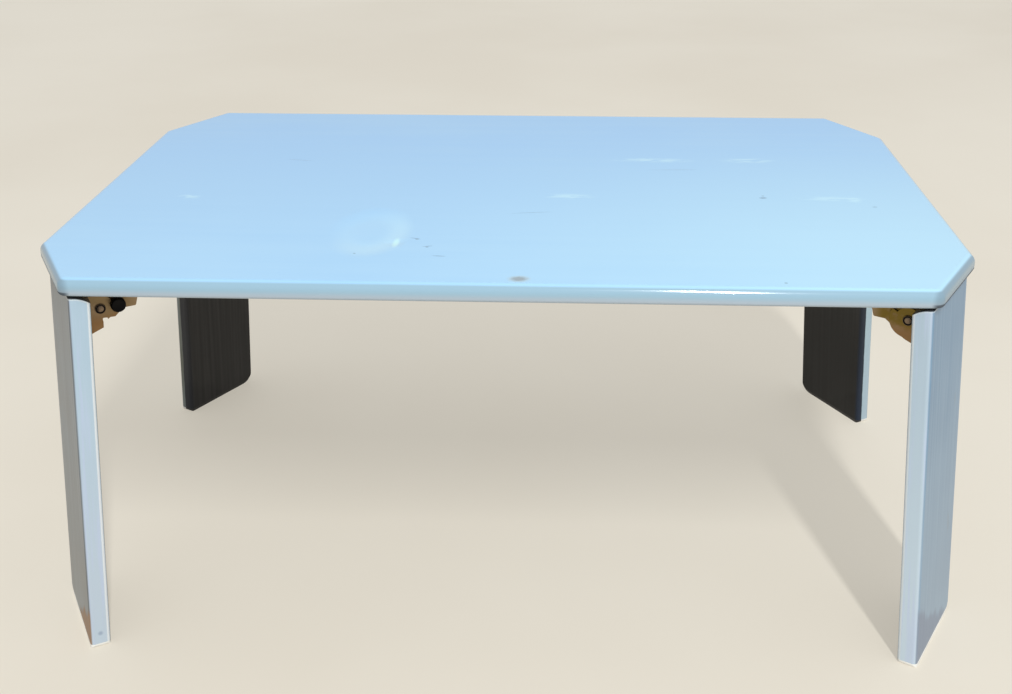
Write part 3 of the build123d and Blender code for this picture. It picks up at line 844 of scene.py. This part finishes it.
def pad_recipe(name):
    border = INNER_FACE - BORDER[name] - FOOT_SHIFT

    def recipe(place):
        x, _, z = place.split()
        cloud = place.noise(45.0, detail=4.0, seed=31.0)
        grit = place.noise(500.0, detail=2.0, seed=32.0)
        base = cloud.step(0.35, 0.7).blend(PAD_WHITE, PAD_AGED)
        rubbed = z.step(*RUB_FADE) * grit.step(0.40, 0.65)
        base = (rubbed * 0.35).blend(base, PAD_RUBBED)
        # black where the leg's black border reaches over the pad
        blackened = x.step(border - BLACK_EDGE_SOFTNESS, border + BLACK_EDGE_SOFTNESS)
        base = blackened.blend(base, LEG_BLACK)
        return {"Base Color": base, "Roughness": 0.45 + grit * 0.2, "Height": (0.25, 0.0003, grit)}
    return recipe


for name in CORNERS:
    white_plastic = finish(f"{name}_pad_plastic", pad_recipe(name), hinge[name])
    dress(f"{name}_foot_pad", white_plastic)
print("foot pads:", len(CORNERS))

# %% [markdown]
# ## Yellow zinc on the hinge plates
#
# Pressed steel brackets are zinc plated and dipped in a yellow chromate bath, which dries in
# drifting shades of gold, olive and copper. Noise picks the shade, and the lower arm leans to
# copper, where the bath ran off. The sheet is rolled, so it also has a fine directional grain.

# %% Zinc finish
ZINC_GOLD = paint(160, 135, 103)
ZINC_OLIVE = paint(128, 106, 35)
ZINC_COPPER = paint(153, 117, 76)
ZINC_PINK = paint(156, 128, 104)
ZINC_TARNISH = paint(84, 66, 44)
OLIVE_SHARE = {"front_left": 0.25, "front_right": 1.0, "rear_left": 0.5, "rear_right": 0.7}
OLIVE_RISE = 12.0  # per metre of height, so that olive gathers near the board
OLIVE_REACH = (0.030, 0.020)  # inwards from the hinge, where olive ends
COPPER_FADE = (-0.001, -0.013)


def zinc_recipe(olive_share):
    def recipe(place):
        x, _, z = place.split()
        drift = place.noise(55.0, detail=3.0, seed=41.0)
        pool = place.noise(120.0, detail=4.0, roughness=0.6, seed=42.0)
        rolled = place.drawn_noise((60, 60, 900), 3.0, 43.0)
        olive = (z * OLIVE_RISE + drift).step(0.30, 0.52) * x.step(*OLIVE_REACH) * olive_share
        base = olive.blend(ZINC_GOLD, ZINC_OLIVE)
        base = (pool.step(0.55, 0.75) * 0.5).blend(base, ZINC_PINK)
        base = (z + (pool - 0.5) * 0.006).step(*COPPER_FADE).blend(base, ZINC_COPPER)
        base = (pool.step(0.30, 0.18) * 0.6).blend(base, ZINC_TARNISH)
        rough = 0.36 + rolled * 0.16 + pool * 0.10
        height = rolled + pool * 0.5
        return {"Base Color": base, "Roughness": rough, "Height": (0.25, 0.0002, height)}
    return recipe


for name in CORNERS:
    plate = finish(f"{name}_zinc", zinc_recipe(OLIVE_SHARE[name]), hinge[name], Metallic=0.6)
    dress(f"{name}_table_bracket", plate)
    dress(f"{name}_leg_bracket", plate)
print("zinc plates:", 2 * len(CORNERS))

# %% [markdown]
# ## Small steel parts
#
# The rivet, bush, pin and clips are turned or stamped steel. The bush and the pin are bright from
# sliding, and the clips are duller. That is one recipe with other values, so one function makes
# both. The rivet has a recipe of its own, because the groove round its head is dark as painted
# shade.

# %% Steel finishes
GRIME = paint(70, 58, 46)
# painted shade in the groove round the rivet's head
GROOVE_SHADE = paint(34, 28, 24)
RIVET_PALE = paint(150, 128, 104)
RIVET_DARK = paint(112, 94, 80)
GROOVE_INNER_FADE = (0.0024, 0.0027)
GROOVE_OUTER_FADE = (0.0040, 0.0037)


def steel(shade, dark, rings, rough_from):
    def recipe(place):
        turned = place.drawn_noise((30, rings, 30), 3.0, 51.0)
        grime_and_shade = place.noise(260.0, detail=4.0, seed=52.0)
        base = turned.step(0.3, 0.7).blend(dark, shade)
        base = (grime_and_shade.step(0.52, 0.7) * 0.55).blend(base, GRIME)
        rough = rough_from + grime_and_shade * 0.2
        return {"Base Color": base, "Roughness": rough, "Height": (0.2, 0.0001, turned)}
    return recipe


def rivet_recipe(place):
    x, _, z = place.split()
    radius = distance(x, z)
    grime_and_shade = place.noise(300.0, detail=4.0, seed=53.0)
    # painted shade in the groove
    groove = radius.step(*GROOVE_INNER_FADE) * radius.step(*GROOVE_OUTER_FADE)
    base = grime_and_shade.step(0.35, 0.7).blend(RIVET_PALE, RIVET_DARK)
    base = groove.blend(base, GROOVE_SHADE)
    rough = 0.35 + groove * 0.35 + grime_and_shade * 0.1
    return {"Base Color": base, "Roughness": rough, "Height": (0.3, 0.0001, grime_and_shade)}


TURNED = steel(paint(190, 190, 186), paint(150, 150, 148), rings=1500, rough_from=0.22)
STAMPED = steel(paint(120, 120, 120), paint(84, 84, 84), rings=400, rough_from=0.34)
for name in CORNERS:
    turn = hinge[name]
    dress(f"{name}_hinge_rivet", finish(f"{name}_rivet", rivet_recipe, turn, Metallic=0.6))
    turned = finish(f"{name}_turned_steel", TURNED, turn, Metallic=0.9)
    dress(f"{name}_hinge_bush", turned)
    dress(f"{name}_latch_pin", turned)
    dress(f"{name}_latch_clips", finish(f"{name}_clip_steel", STAMPED, turn, Metallic=0.9))
print("steel parts:", 4 * len(CORNERS))

# %% [markdown]
# ## Screws
#
# Thirty-two countersunk screws hold the brackets. Each is a cone, a core, a thread and a point,
# with a cross cut into its head: simple solids, joined and cut by one tree. The base mesh is only
# points, one for each screw, with a turn stored on each; the tree puts a screw on every point. A
# worker never stops a screw at the same angle twice, so each one is also spun by a random amount
# from a fixed seed. The thread is a spiral with a section of four sides.

# %% Solids for the hardware
def moved_solid(solid, x=0.0, y=0.0, z=0.0, turn=(0.0, 0.0, 0.0)):
    inputs = {"Geometry": solid, "Rotation": turn}
    inputs["Translation"] = solid.node("ShaderNodeCombineXYZ", {}, {"X": x, "Y": y, "Z": z})
    return solid.node("GeometryNodeTransform", {}, inputs)


def cone_solid(start, lower, upper, depth, sides):
    """Cone from z = 0 up to depth, with a radius at each end."""
    inputs = {"Vertices": sides, "Radius Bottom": lower, "Radius Top": upper, "Depth": depth}
    return start.node("GeometryNodeMeshCone", {}, inputs)


def bar_solid(start, length, width, depth):
    size = start.node("ShaderNodeCombineXYZ", {}, {"X": length, "Y": width, "Z": depth})
    return start.node("GeometryNodeMeshCube", {}, {"Size": size})


def united(first, *others):
    """One skin round overlapping solids."""
    for other in others:
        inputs = {"Mesh 2": first.join(other)}
        settings = {"operation": "UNION", "solver": "EXACT"}
        first = first.node("GeometryNodeMeshBoolean", settings, inputs)
    return first


def spiral(turns, height, radius, resolution, anticlockwise=False):
    """A coil's path; the node's own direction is clockwise."""
    inputs = {"Resolution": resolution, "Rotations": turns, "Height": height}
    inputs |= {"Start Radius": radius, "End Radius": radius, "Reverse": anticlockwise}
    return height.node("GeometryNodeCurveSpiral", {}, inputs)


def thickened(path, radius, sides):
    """A path with a round section; the circle's inputs 0 and 4 are its sides and radius."""
    profile = path.node("GeometryNodeCurvePrimitiveCircle", {}, {0: sides, 4: radius})
    inputs = {"Curve": path, "Profile Curve": profile, "Fill Caps": True}
    return path.node("GeometryNodeCurveToMesh", {}, inputs)


print("solid helpers ready")

# %% Placing hardware on points
def on_points(given, solid, spin):
    """Puts a solid on every point of the base mesh, at the point's own turn, and spins it."""
    settings = {"data_type": "FLOAT_VECTOR"}
    turn = solid.node("GeometryNodeInputNamedAttribute", settings, {"Name": "turn"})
    turn = turn.node("FunctionNodeEulerToRotation", {}, {"Euler": turn})
    inputs = {"Points": given["Geometry"], "Instance": solid, "Rotation": turn}
    placed = solid.node("GeometryNodeInstanceOnPoints", {}, inputs)
    about = placed.node("ShaderNodeCombineXYZ", {}, {"Z": spin})
    inputs = {"Instances": placed, "Rotation": about}
    return placed.node("GeometryNodeRotateInstances", {}, inputs)


def random_spin(seed):
    """An angle for each point, from a seed that is one of the tree's inputs."""
    random = seed.node("FunctionNodeRandomValue", {"data_type": "FLOAT"}).socket.node
    live = {socket.name: socket for socket in random.inputs if socket.enabled}
    live["Min"].default_value, live["Max"].default_value = 0.0, 2 * pi
    seed.tree.links.new(seed.socket, live["Seed"])
    return Signal(seed.tree, next(socket for socket in random.outputs if socket.enabled))


def points_mesh(name, frames):
    """A mesh of loose points, one for each frame, with that frame's turn stored on it."""
    data = bpy.data.meshes.new(name)
    data.from_pydata([place.translation for place in frames], [], [])
    turns = data.attributes.new("turn", "FLOAT_VECTOR", "POINT")
    for item, place in zip(turns.data, frames):
        item.vector = place.to_euler("XYZ")
    return data


print("point helpers ready")

# %% The screw tree
SCREW = {
    "Head Radius": 0.0034,
    "Core Radius": 0.00135,
    "Thread Radius": 0.00035,
    "Thread Pitch": 0.0012,
    "Point": 0.0034,
    "Cross Length": 0.0036,
    "Cross Width": 0.0007,
    "Cross Depth": 0.0011,
}
OVERLAP = 0.0001  # how far solids reach into each other before they are united
THREAD_STEPS = 14  # points in one turn of the thread


def screw_shank(given):
    head_depth = given["Head Radius"] - given["Core Radius"]
    tip = given["Length"] - given["Point"]
    core_length = tip - head_depth + OVERLAP
    core = cone_solid(tip, given["Core Radius"], given["Core Radius"], core_length, sides=20)
    core = moved_solid(core, z=tip * -1.0)
    point = cone_solid(tip, 0.0, given["Core Radius"], given["Point"] + OVERLAP, sides=20)
    point = moved_solid(point, z=given["Length"] * -1.0)
    return united(core, point)


def screw_thread(given):
    height = given["Length"] - given["Point"] - given["Head Radius"]
    path = spiral(height / given["Thread Pitch"], height, given["Core Radius"], THREAD_STEPS)
    thread = thickened(path, given["Thread Radius"], sides=4)
    return moved_solid(thread, z=(given["Length"] - given["Point"]) * -1.0)


def screw_tree():
    given = start_tree("screw", Length="size", Seed="count", **{size: "size" for size in SCREW})
    head_depth = given["Head Radius"] - given["Core Radius"]
    radii = given["Core Radius"], given["Head Radius"]
    head = cone_solid(head_depth, *radii, head_depth, sides=32)
    head = moved_solid(head, z=head_depth * -1.0)
    solid = united(head, screw_shank(given))
    arm = bar_solid(head, given["Cross Length"], given["Cross Width"], given["Cross Depth"] * 2.0)
    cross = united(arm, moved_solid(arm, turn=(0.0, 0.0, pi / 2)))
    settings = {"operation": "DIFFERENCE", "solver": "EXACT"}
    inputs = {"Mesh 1": solid, "Mesh 2": cross}
    solid = solid.node("GeometryNodeMeshBoolean", settings, inputs)
    solid = solid.join(screw_thread(given))
    return end_tree(given, on_points(given, solid, random_spin(given["Seed"])))


SCREWS = screw_tree()
print("screw tree:", len(SCREWS.nodes), "nodes")

# %% [markdown]
# ### Where the screws go
#
# A bracket's screws sit at the same four places in every corner frame: under the base plate,
# pointing up into the board, and on the leg's plate, pointing out into the leg. The board's
# sixteen screws ride on the board as one piece, and each leg's four ride on that leg.

# %% Screws in place
TABLE_SCREWS = [(0.026, -0.0046), (0.026, 0.0046), (0.050, -0.0046), (0.050, 0.0046)]
TABLE_SCREW_FACE = 0.0279
TABLE_SCREW_LENGTH = 0.011
LEG_SCREWS = [(-0.0054, 0.0132), (0.0054, 0.0132), (-0.0054, -0.0164), (0.0054, -0.0164)]
LEG_SCREW_FACE = -0.0109
LEG_SCREW_LENGTH = 0.015
SCREW_DARK = paint(172, 150, 104)
SCREW_BRIGHT = paint(196, 176, 132)


def screw_colour(place):
    drift = place.noise(160.0, detail=3.0, seed=81.0)
    grime_and_shade = place.noise(700.0, detail=3.0, seed=82.0)
    base = drift.step(0.35, 0.65).blend(SCREW_DARK, SCREW_BRIGHT)
    base = (grime_and_shade.step(0.50, 0.70) * 0.6).blend(base, GRIME)
    return {"Base Color": base, "Roughness": 0.3 + grime_and_shade * 0.25, "Height": (0.2, 0.0001, grime_and_shade)}


screw_zinc = finish("screw_zinc", screw_colour, Metallic=0.8)


def place_hardware(name, body, tree, frames, replaced, material, **sizes):
    """Puts one tree's pieces at all the frames, as a piece that rides on a body."""
    base = points_mesh(f"{name}_points", frames)
    piece = run_tree(name, tree, base, Material=material, **sizes)
    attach(piece, body)
    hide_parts(*replaced)
    return piece


upwards = Matrix.Rotation(pi, 4, "X")
outwards = Matrix.Rotation(pi / 2, 4, "Y")
table_frames = [
    hinge[name] @ Matrix.Translation((x, y, TABLE_SCREW_FACE)) @ upwards
    for name in CORNERS
    for x, y in TABLE_SCREWS
]
replaced = [f"{name}_table_screws" for name in CORNERS]
sizes = SCREW | {"Length": TABLE_SCREW_LENGTH, "Seed": 7}
piece = place_hardware(
    "table_screws", "board", SCREWS, table_frames, replaced, screw_zinc, **sizes
)
print("screws in the board:", len(table_frames), "with", len(piece.data.polygons), "faces")

sizes = SCREW | {"Length": LEG_SCREW_LENGTH, "Seed": 8}
for name in CORNERS:
    frames = [
        leg_frame[name] @ Matrix.Translation((LEG_SCREW_FACE, y, z)) @ outwards
        for y, z in LEG_SCREWS
    ]
    body, replaced = f"{name}_leg_unit", [f"{name}_leg_screws"]
    piece = place_hardware(f"{name}_screws", body, SCREWS, frames, replaced, screw_zinc, **sizes)
print("screws in each leg:", len(LEG_SCREWS))

# %% [markdown]
# ## Pad nails
#
# Two flat-headed nails hold each foot pad, sunk a little so that they don't scratch the floor. The
# nail's tree is the screw's with fewer solids: a thin head, its cone, a shank and a four-sided
# point.

# %% The nail tree, and nails in place
NAIL = {"Head Radius": 0.0024, "Shank Radius": 0.0009, "Head Height": 0.0009, "Point": 0.0030}
NAIL_LENGTH = 0.018
NAIL_PLACES = (-0.023, 0.023)
NAIL_DEPTH = -0.04352
NAIL_FACE = -0.2880
HEAD_EDGE = 0.0003  # the straight edge of the head, before its cone


def nail_tree():
    given = start_tree("nail", Length="size", Seed="count", **{size: "size" for size in NAIL})
    head, shank = given["Head Radius"], given["Shank Radius"]
    disc = cone_solid(head, head, head, HEAD_EDGE + OVERLAP, sides=24)
    cone = cone_solid(head, head, shank, given["Head Height"] - HEAD_EDGE, sides=24)
    cone = moved_solid(cone, z=HEAD_EDGE)
    start = given["Head Height"] - OVERLAP
    straight = given["Length"] - given["Point"]
    stem = cone_solid(head, shank, shank, straight - start, sides=16)
    stem = moved_solid(stem, z=start)
    tip = cone_solid(head, shank, 0.0, given["Point"] + OVERLAP, sides=4)
    tip = moved_solid(tip, z=straight - OVERLAP)
    solid = united(disc, cone, stem, tip)
    return end_tree(given, on_points(given, solid, random_spin(given["Seed"])))


NAILS = nail_tree()
for name in CORNERS:
    frames = [hinge[name] @ Matrix.Translation((NAIL_DEPTH, y, NAIL_FACE)) for y in NAIL_PLACES]
    body, replaced = f"{name}_leg_unit", [f"{name}_pad_nails"]
    sizes = NAIL | {"Length": NAIL_LENGTH, "Seed": 9}
    piece = place_hardware(f"{name}_nails", body, NAILS, frames, replaced, screw_zinc, **sizes)
print("nails in each foot:", len(NAIL_PLACES), "with", len(piece.data.polygons), "faces")

# %% [markdown]
# ## Latch springs
#
# A torsion spring is one piece of wire: a hook that pulls the latch pin, a coil round the bush,
# and a brace against the base plate. Geometry Nodes has a spiral for the coil; each arm is a bent
# line of three points with its corner rounded. The three curves are turned into edges, welded end
# to end, turned back into a single curve, and only then given the wire's thickness, so that the
# wire has no seams.

# %% The spring tree
SPRING = {"Coil Radius": 0.0051, "Wire Radius": 0.0006, "Turns": 4.3056, "Height": 0.0060278}
COIL_START = 70.0  # degrees, where the coil leaves the hook
HOOK = [(0.0144983, -0.0037341, 0.0083631), (0.0172345, -0.0037341, 0.0008455)]
HOOK_JOIN = (0.0017443, -0.0030139, -0.0047924)
BRACE_JOIN = (-0.0051, 0.0030139, 0.0)
BRACE = [(-0.0051, 0.0041837, 0.0267745), (0.0009, 0.0041837, 0.0267745)]
WIRE_BEND = 0.0015
WELD = 0.00002  # points closer than this become one
COIL_STEPS = 28  # points in one turn of the coil


def bent_line(start, points):
    """A curve through points, with its corners rounded to the wire's bend."""
    runs = [
        start.node("GeometryNodeCurvePrimitiveLine", {}, {"Start": a, "End": b})
        for a, b in zip(points, points[1:])
    ]
    curve = welded(runs[0].join(*runs[1:]))
    inputs = {"Curve": curve, "Count": 6, "Radius": WIRE_BEND}
    return start.node("GeometryNodeFilletCurve", {"mode": "POLY"}, inputs)


def welded(curves):
    """Curves that meet end to end, as one curve."""
    edges = curves.node("GeometryNodeCurveToMesh", {}, {"Curve": curves})
    inputs = {"Geometry": edges, "Distance": WELD}
    edges = edges.node("GeometryNodeMergeByDistance", {}, inputs)
    return edges.node("GeometryNodeMeshToCurve", {}, {"Mesh": edges})


def spring_tree():
    given = start_tree("spring", **{size: "size" for size in SPRING})
    winding = given["Turns"], given["Height"], given["Coil Radius"], COIL_STEPS
    coil = spiral(*winding, anticlockwise=True)
    lying = (-pi / 2, radians(COIL_START), 0.0)
    coil = moved_solid(coil, y=given["Height"] * -0.5, turn=lying)
    hook = bent_line(coil, [*HOOK, HOOK_JOIN])
    brace = bent_line(coil, [BRACE_JOIN, *BRACE])
    wire = thickened(welded(hook.join(coil, brace)), given["Wire Radius"], sides=10)
    return end_tree(given, on_points(given, wire, 0.0))


SPRINGS = spring_tree()
print("spring tree:", len(SPRINGS.nodes), "nodes")

# %% Springs in place
WIRE_SHARP = radians(50)  # keeps the cut ends sharp and the wire round
WIRE_DARK = paint(96, 96, 98)
WIRE_BRIGHT = paint(142, 142, 144)


def spring_wire(place):
    streak = place.noise(900.0, detail=2.0, seed=91.0)
    grime_and_shade = place.noise(240.0, detail=4.0, seed=92.0)
    base = streak.step(0.35, 0.65).blend(WIRE_DARK, WIRE_BRIGHT)
    base = (grime_and_shade.step(0.50, 0.70) * 0.6).blend(base, GRIME)
    return {"Base Color": base, "Roughness": 0.28 + grime_and_shade * 0.2, "Height": (0.2, 0.0001, streak)}


frames = [hinge[name] for name in CORNERS]
replaced = [f"{name}_latch_spring" for name in CORNERS]
wire_steel = finish("spring_wire", spring_wire, Metallic=0.9)
springs = place_hardware(
    "latch_springs", "board", SPRINGS, frames, replaced, wire_steel, **SPRING
)
for face in springs.data.polygons:
    face.use_smooth = True
springs.data.set_sharp_from_angle(angle=WIRE_SHARP)
print("springs:", len(frames), "with", len(springs.data.polygons), "faces")

# %% [markdown]
# ## The latch knob
#
# The thumb knob is moulded in black plastic, with a fine grain that fingers have worn a little
# greyer in places. Its shape, with the dish and the flutes, is already in the CAD part.

# %% Knob finish
KNOB_BLACK = paint(8, 7, 7)
KNOB_WORN = paint(20, 18, 17)


def black_plastic(place):
    grain = place.noise(1400.0, detail=2.0, seed=61.0)
    worn = place.noise(160.0, detail=3.0, seed=62.0)
    base = worn.step(0.5, 0.75).blend(KNOB_BLACK, KNOB_WORN)
    return {"Base Color": base, "Roughness": 0.36 + grain * 0.25, "Height": (0.25, 0.0001, grain)}


knob_plastic = finish("knob_plastic", black_plastic, Specular_IOR_Level=0.12)
for name in CORNERS:
    dress(f"{name}_latch_knob", knob_plastic)
print("knobs:", len(CORNERS))

# %% [markdown]
# ## Camera
#
# The table is seen from above and almost square on, so that its near edge is level and the board
# opens out behind it. The lens is a normal one for its sensor. It is shifted a little, which moves
# the picture without turning the camera.

# %% The camera
SENSOR_WIDTH = 36  # mm
FRAME_WIDTH, FRAME_HEIGHT = 1012, 694
FOCAL_PIXELS = 1276.66
CENTRE_PIXEL = (531.70, 313.59)
CAMERA_PLACE = (0.05893, -1.12452, 0.69017)
CAMERA_PITCH = radians(23.4675)
CAMERA_YAW = radians(2.1032)

camera_data = bpy.data.cameras.new("camera")
camera_data.sensor_width = SENSOR_WIDTH
camera_data.lens = FOCAL_PIXELS * SENSOR_WIDTH / FRAME_WIDTH
camera_data.shift_x = (FRAME_WIDTH / 2 - CENTRE_PIXEL[0]) / FRAME_WIDTH
camera_data.shift_y = (CENTRE_PIXEL[1] - FRAME_HEIGHT / 2) / FRAME_WIDTH
camera = bpy.data.objects.new("camera", camera_data)
camera.location = CAMERA_PLACE
camera.rotation_euler = (pi / 2 - CAMERA_PITCH, 0, CAMERA_YAW)
bpy.context.scene.collection.objects.link(camera)
bpy.context.scene.camera = camera
print("lens", round(camera_data.lens, 2), "mm, shift", round(camera_data.shift_y, 3))

# %% [markdown]
# ## Floor and light
#
# The floor is a plain pale sheet, large enough for any view. The light is a plain studio set: one
# tall narrow panel in front of the table, high up like a window, and an even sky that fills the
# shadows. Their sum is set so that a colour renders about as it is written. The board's rounded
# edge shows the panel as one short bright line. Seen straight by the camera the sky is a little
# brighter, and the floor glows in its own colour. Both keep the background pale, and the shadows
# on it light, without putting more light on the table.

# %% The floor
FLOOR_HALF = 12.0
FLOOR_GLOW = 0.55
PAPER = paint(228, 221, 206)
PAPER_PALE = paint(234, 228, 214)
BLACK = (0, 0, 0, 1)


def seen_directly(start):
    """1 for the camera's own rays and for what a mirror or glass shows it, else 0."""
    outputs = start.node("ShaderNodeLightPath").socket.node.outputs
    seen = Signal(start.tree, outputs["Is Camera Ray"])
    for kind in ("Glossy", "Transmission"):
        seen = seen.math("MAXIMUM", seen, Signal(start.tree, outputs[f"Is {kind} Ray"]))
    return seen


def floor_recipe(place):
    cloud = place.noise(1.3, detail=4.0, seed=71.0)
    tone = cloud.step(0.3, 0.7).blend(PAPER, PAPER_PALE)
    seen = seen_directly(place)
    base = (seen * FLOOR_GLOW).blend(tone, BLACK)
    glow = (seen * FLOOR_GLOW).blend(BLACK, tone)
    return {"Base Color": base, "Roughness": 0.7 + cloud * 0.1, "Emission Color": glow}


floor_data = bpy.data.meshes.new("floor")
corners = [(x * FLOOR_HALF, y * FLOOR_HALF, 0) for x, y in ((-1, -1), (1, -1), (1, 1), (-1, 1))]
floor_data.from_pydata(corners, [], [(0, 1, 2, 3)])
floor = add_piece("floor", floor_data)
floor_data.materials.append(finish("floor_paper", floor_recipe, Emission_Strength=1.0))
print("floor:", 2 * FLOOR_HALF, "m wide")

# %% The lights
TABLE_MIDDLE = Vector((0, 0, 0.2))
WINDOW_PLACE = Vector((0.62, -2.30, 2.74))
WINDOW_SIZE = (0.12, 1.00)
WINDOW_WATTS = 76
WINDOW_TINT = (1.0, 0.99, 0.97)
SKY_TINT = (0.97, 0.98, 1.0, 1)
SKY_LEVEL = 0.60
BACKDROP_LEVEL = 0.66  # the sky as the camera sees it

window_data = bpy.data.lights.new("window", "AREA")
window_data.shape = "RECTANGLE"
window_data.size, window_data.size_y = WINDOW_SIZE
window_data.energy = WINDOW_WATTS
window_data.color = WINDOW_TINT
window = bpy.data.objects.new("window", window_data)
window.location = WINDOW_PLACE
window.rotation_euler = (TABLE_MIDDLE - WINDOW_PLACE).to_track_quat("-Z", "Y").to_euler()
bpy.context.scene.collection.objects.link(window)
world = bpy.data.worlds.new("studio")
world.use_nodes = True
backdrop = world.node_tree.nodes["Background"]
backdrop.inputs["Color"].default_value = SKY_TINT
level = SKY_LEVEL + seen_directly(Signal(world.node_tree)) * (BACKDROP_LEVEL - SKY_LEVEL)
world.node_tree.links.new(level.socket, backdrop.inputs["Strength"])
bpy.context.scene.world = world
bpy.context.scene.view_settings.view_transform = "Standard"
print("light:", window.name, "at", [round(v, 2) for v in WINDOW_PLACE])

# %% Update the scene
bpy.context.view_layer.update()
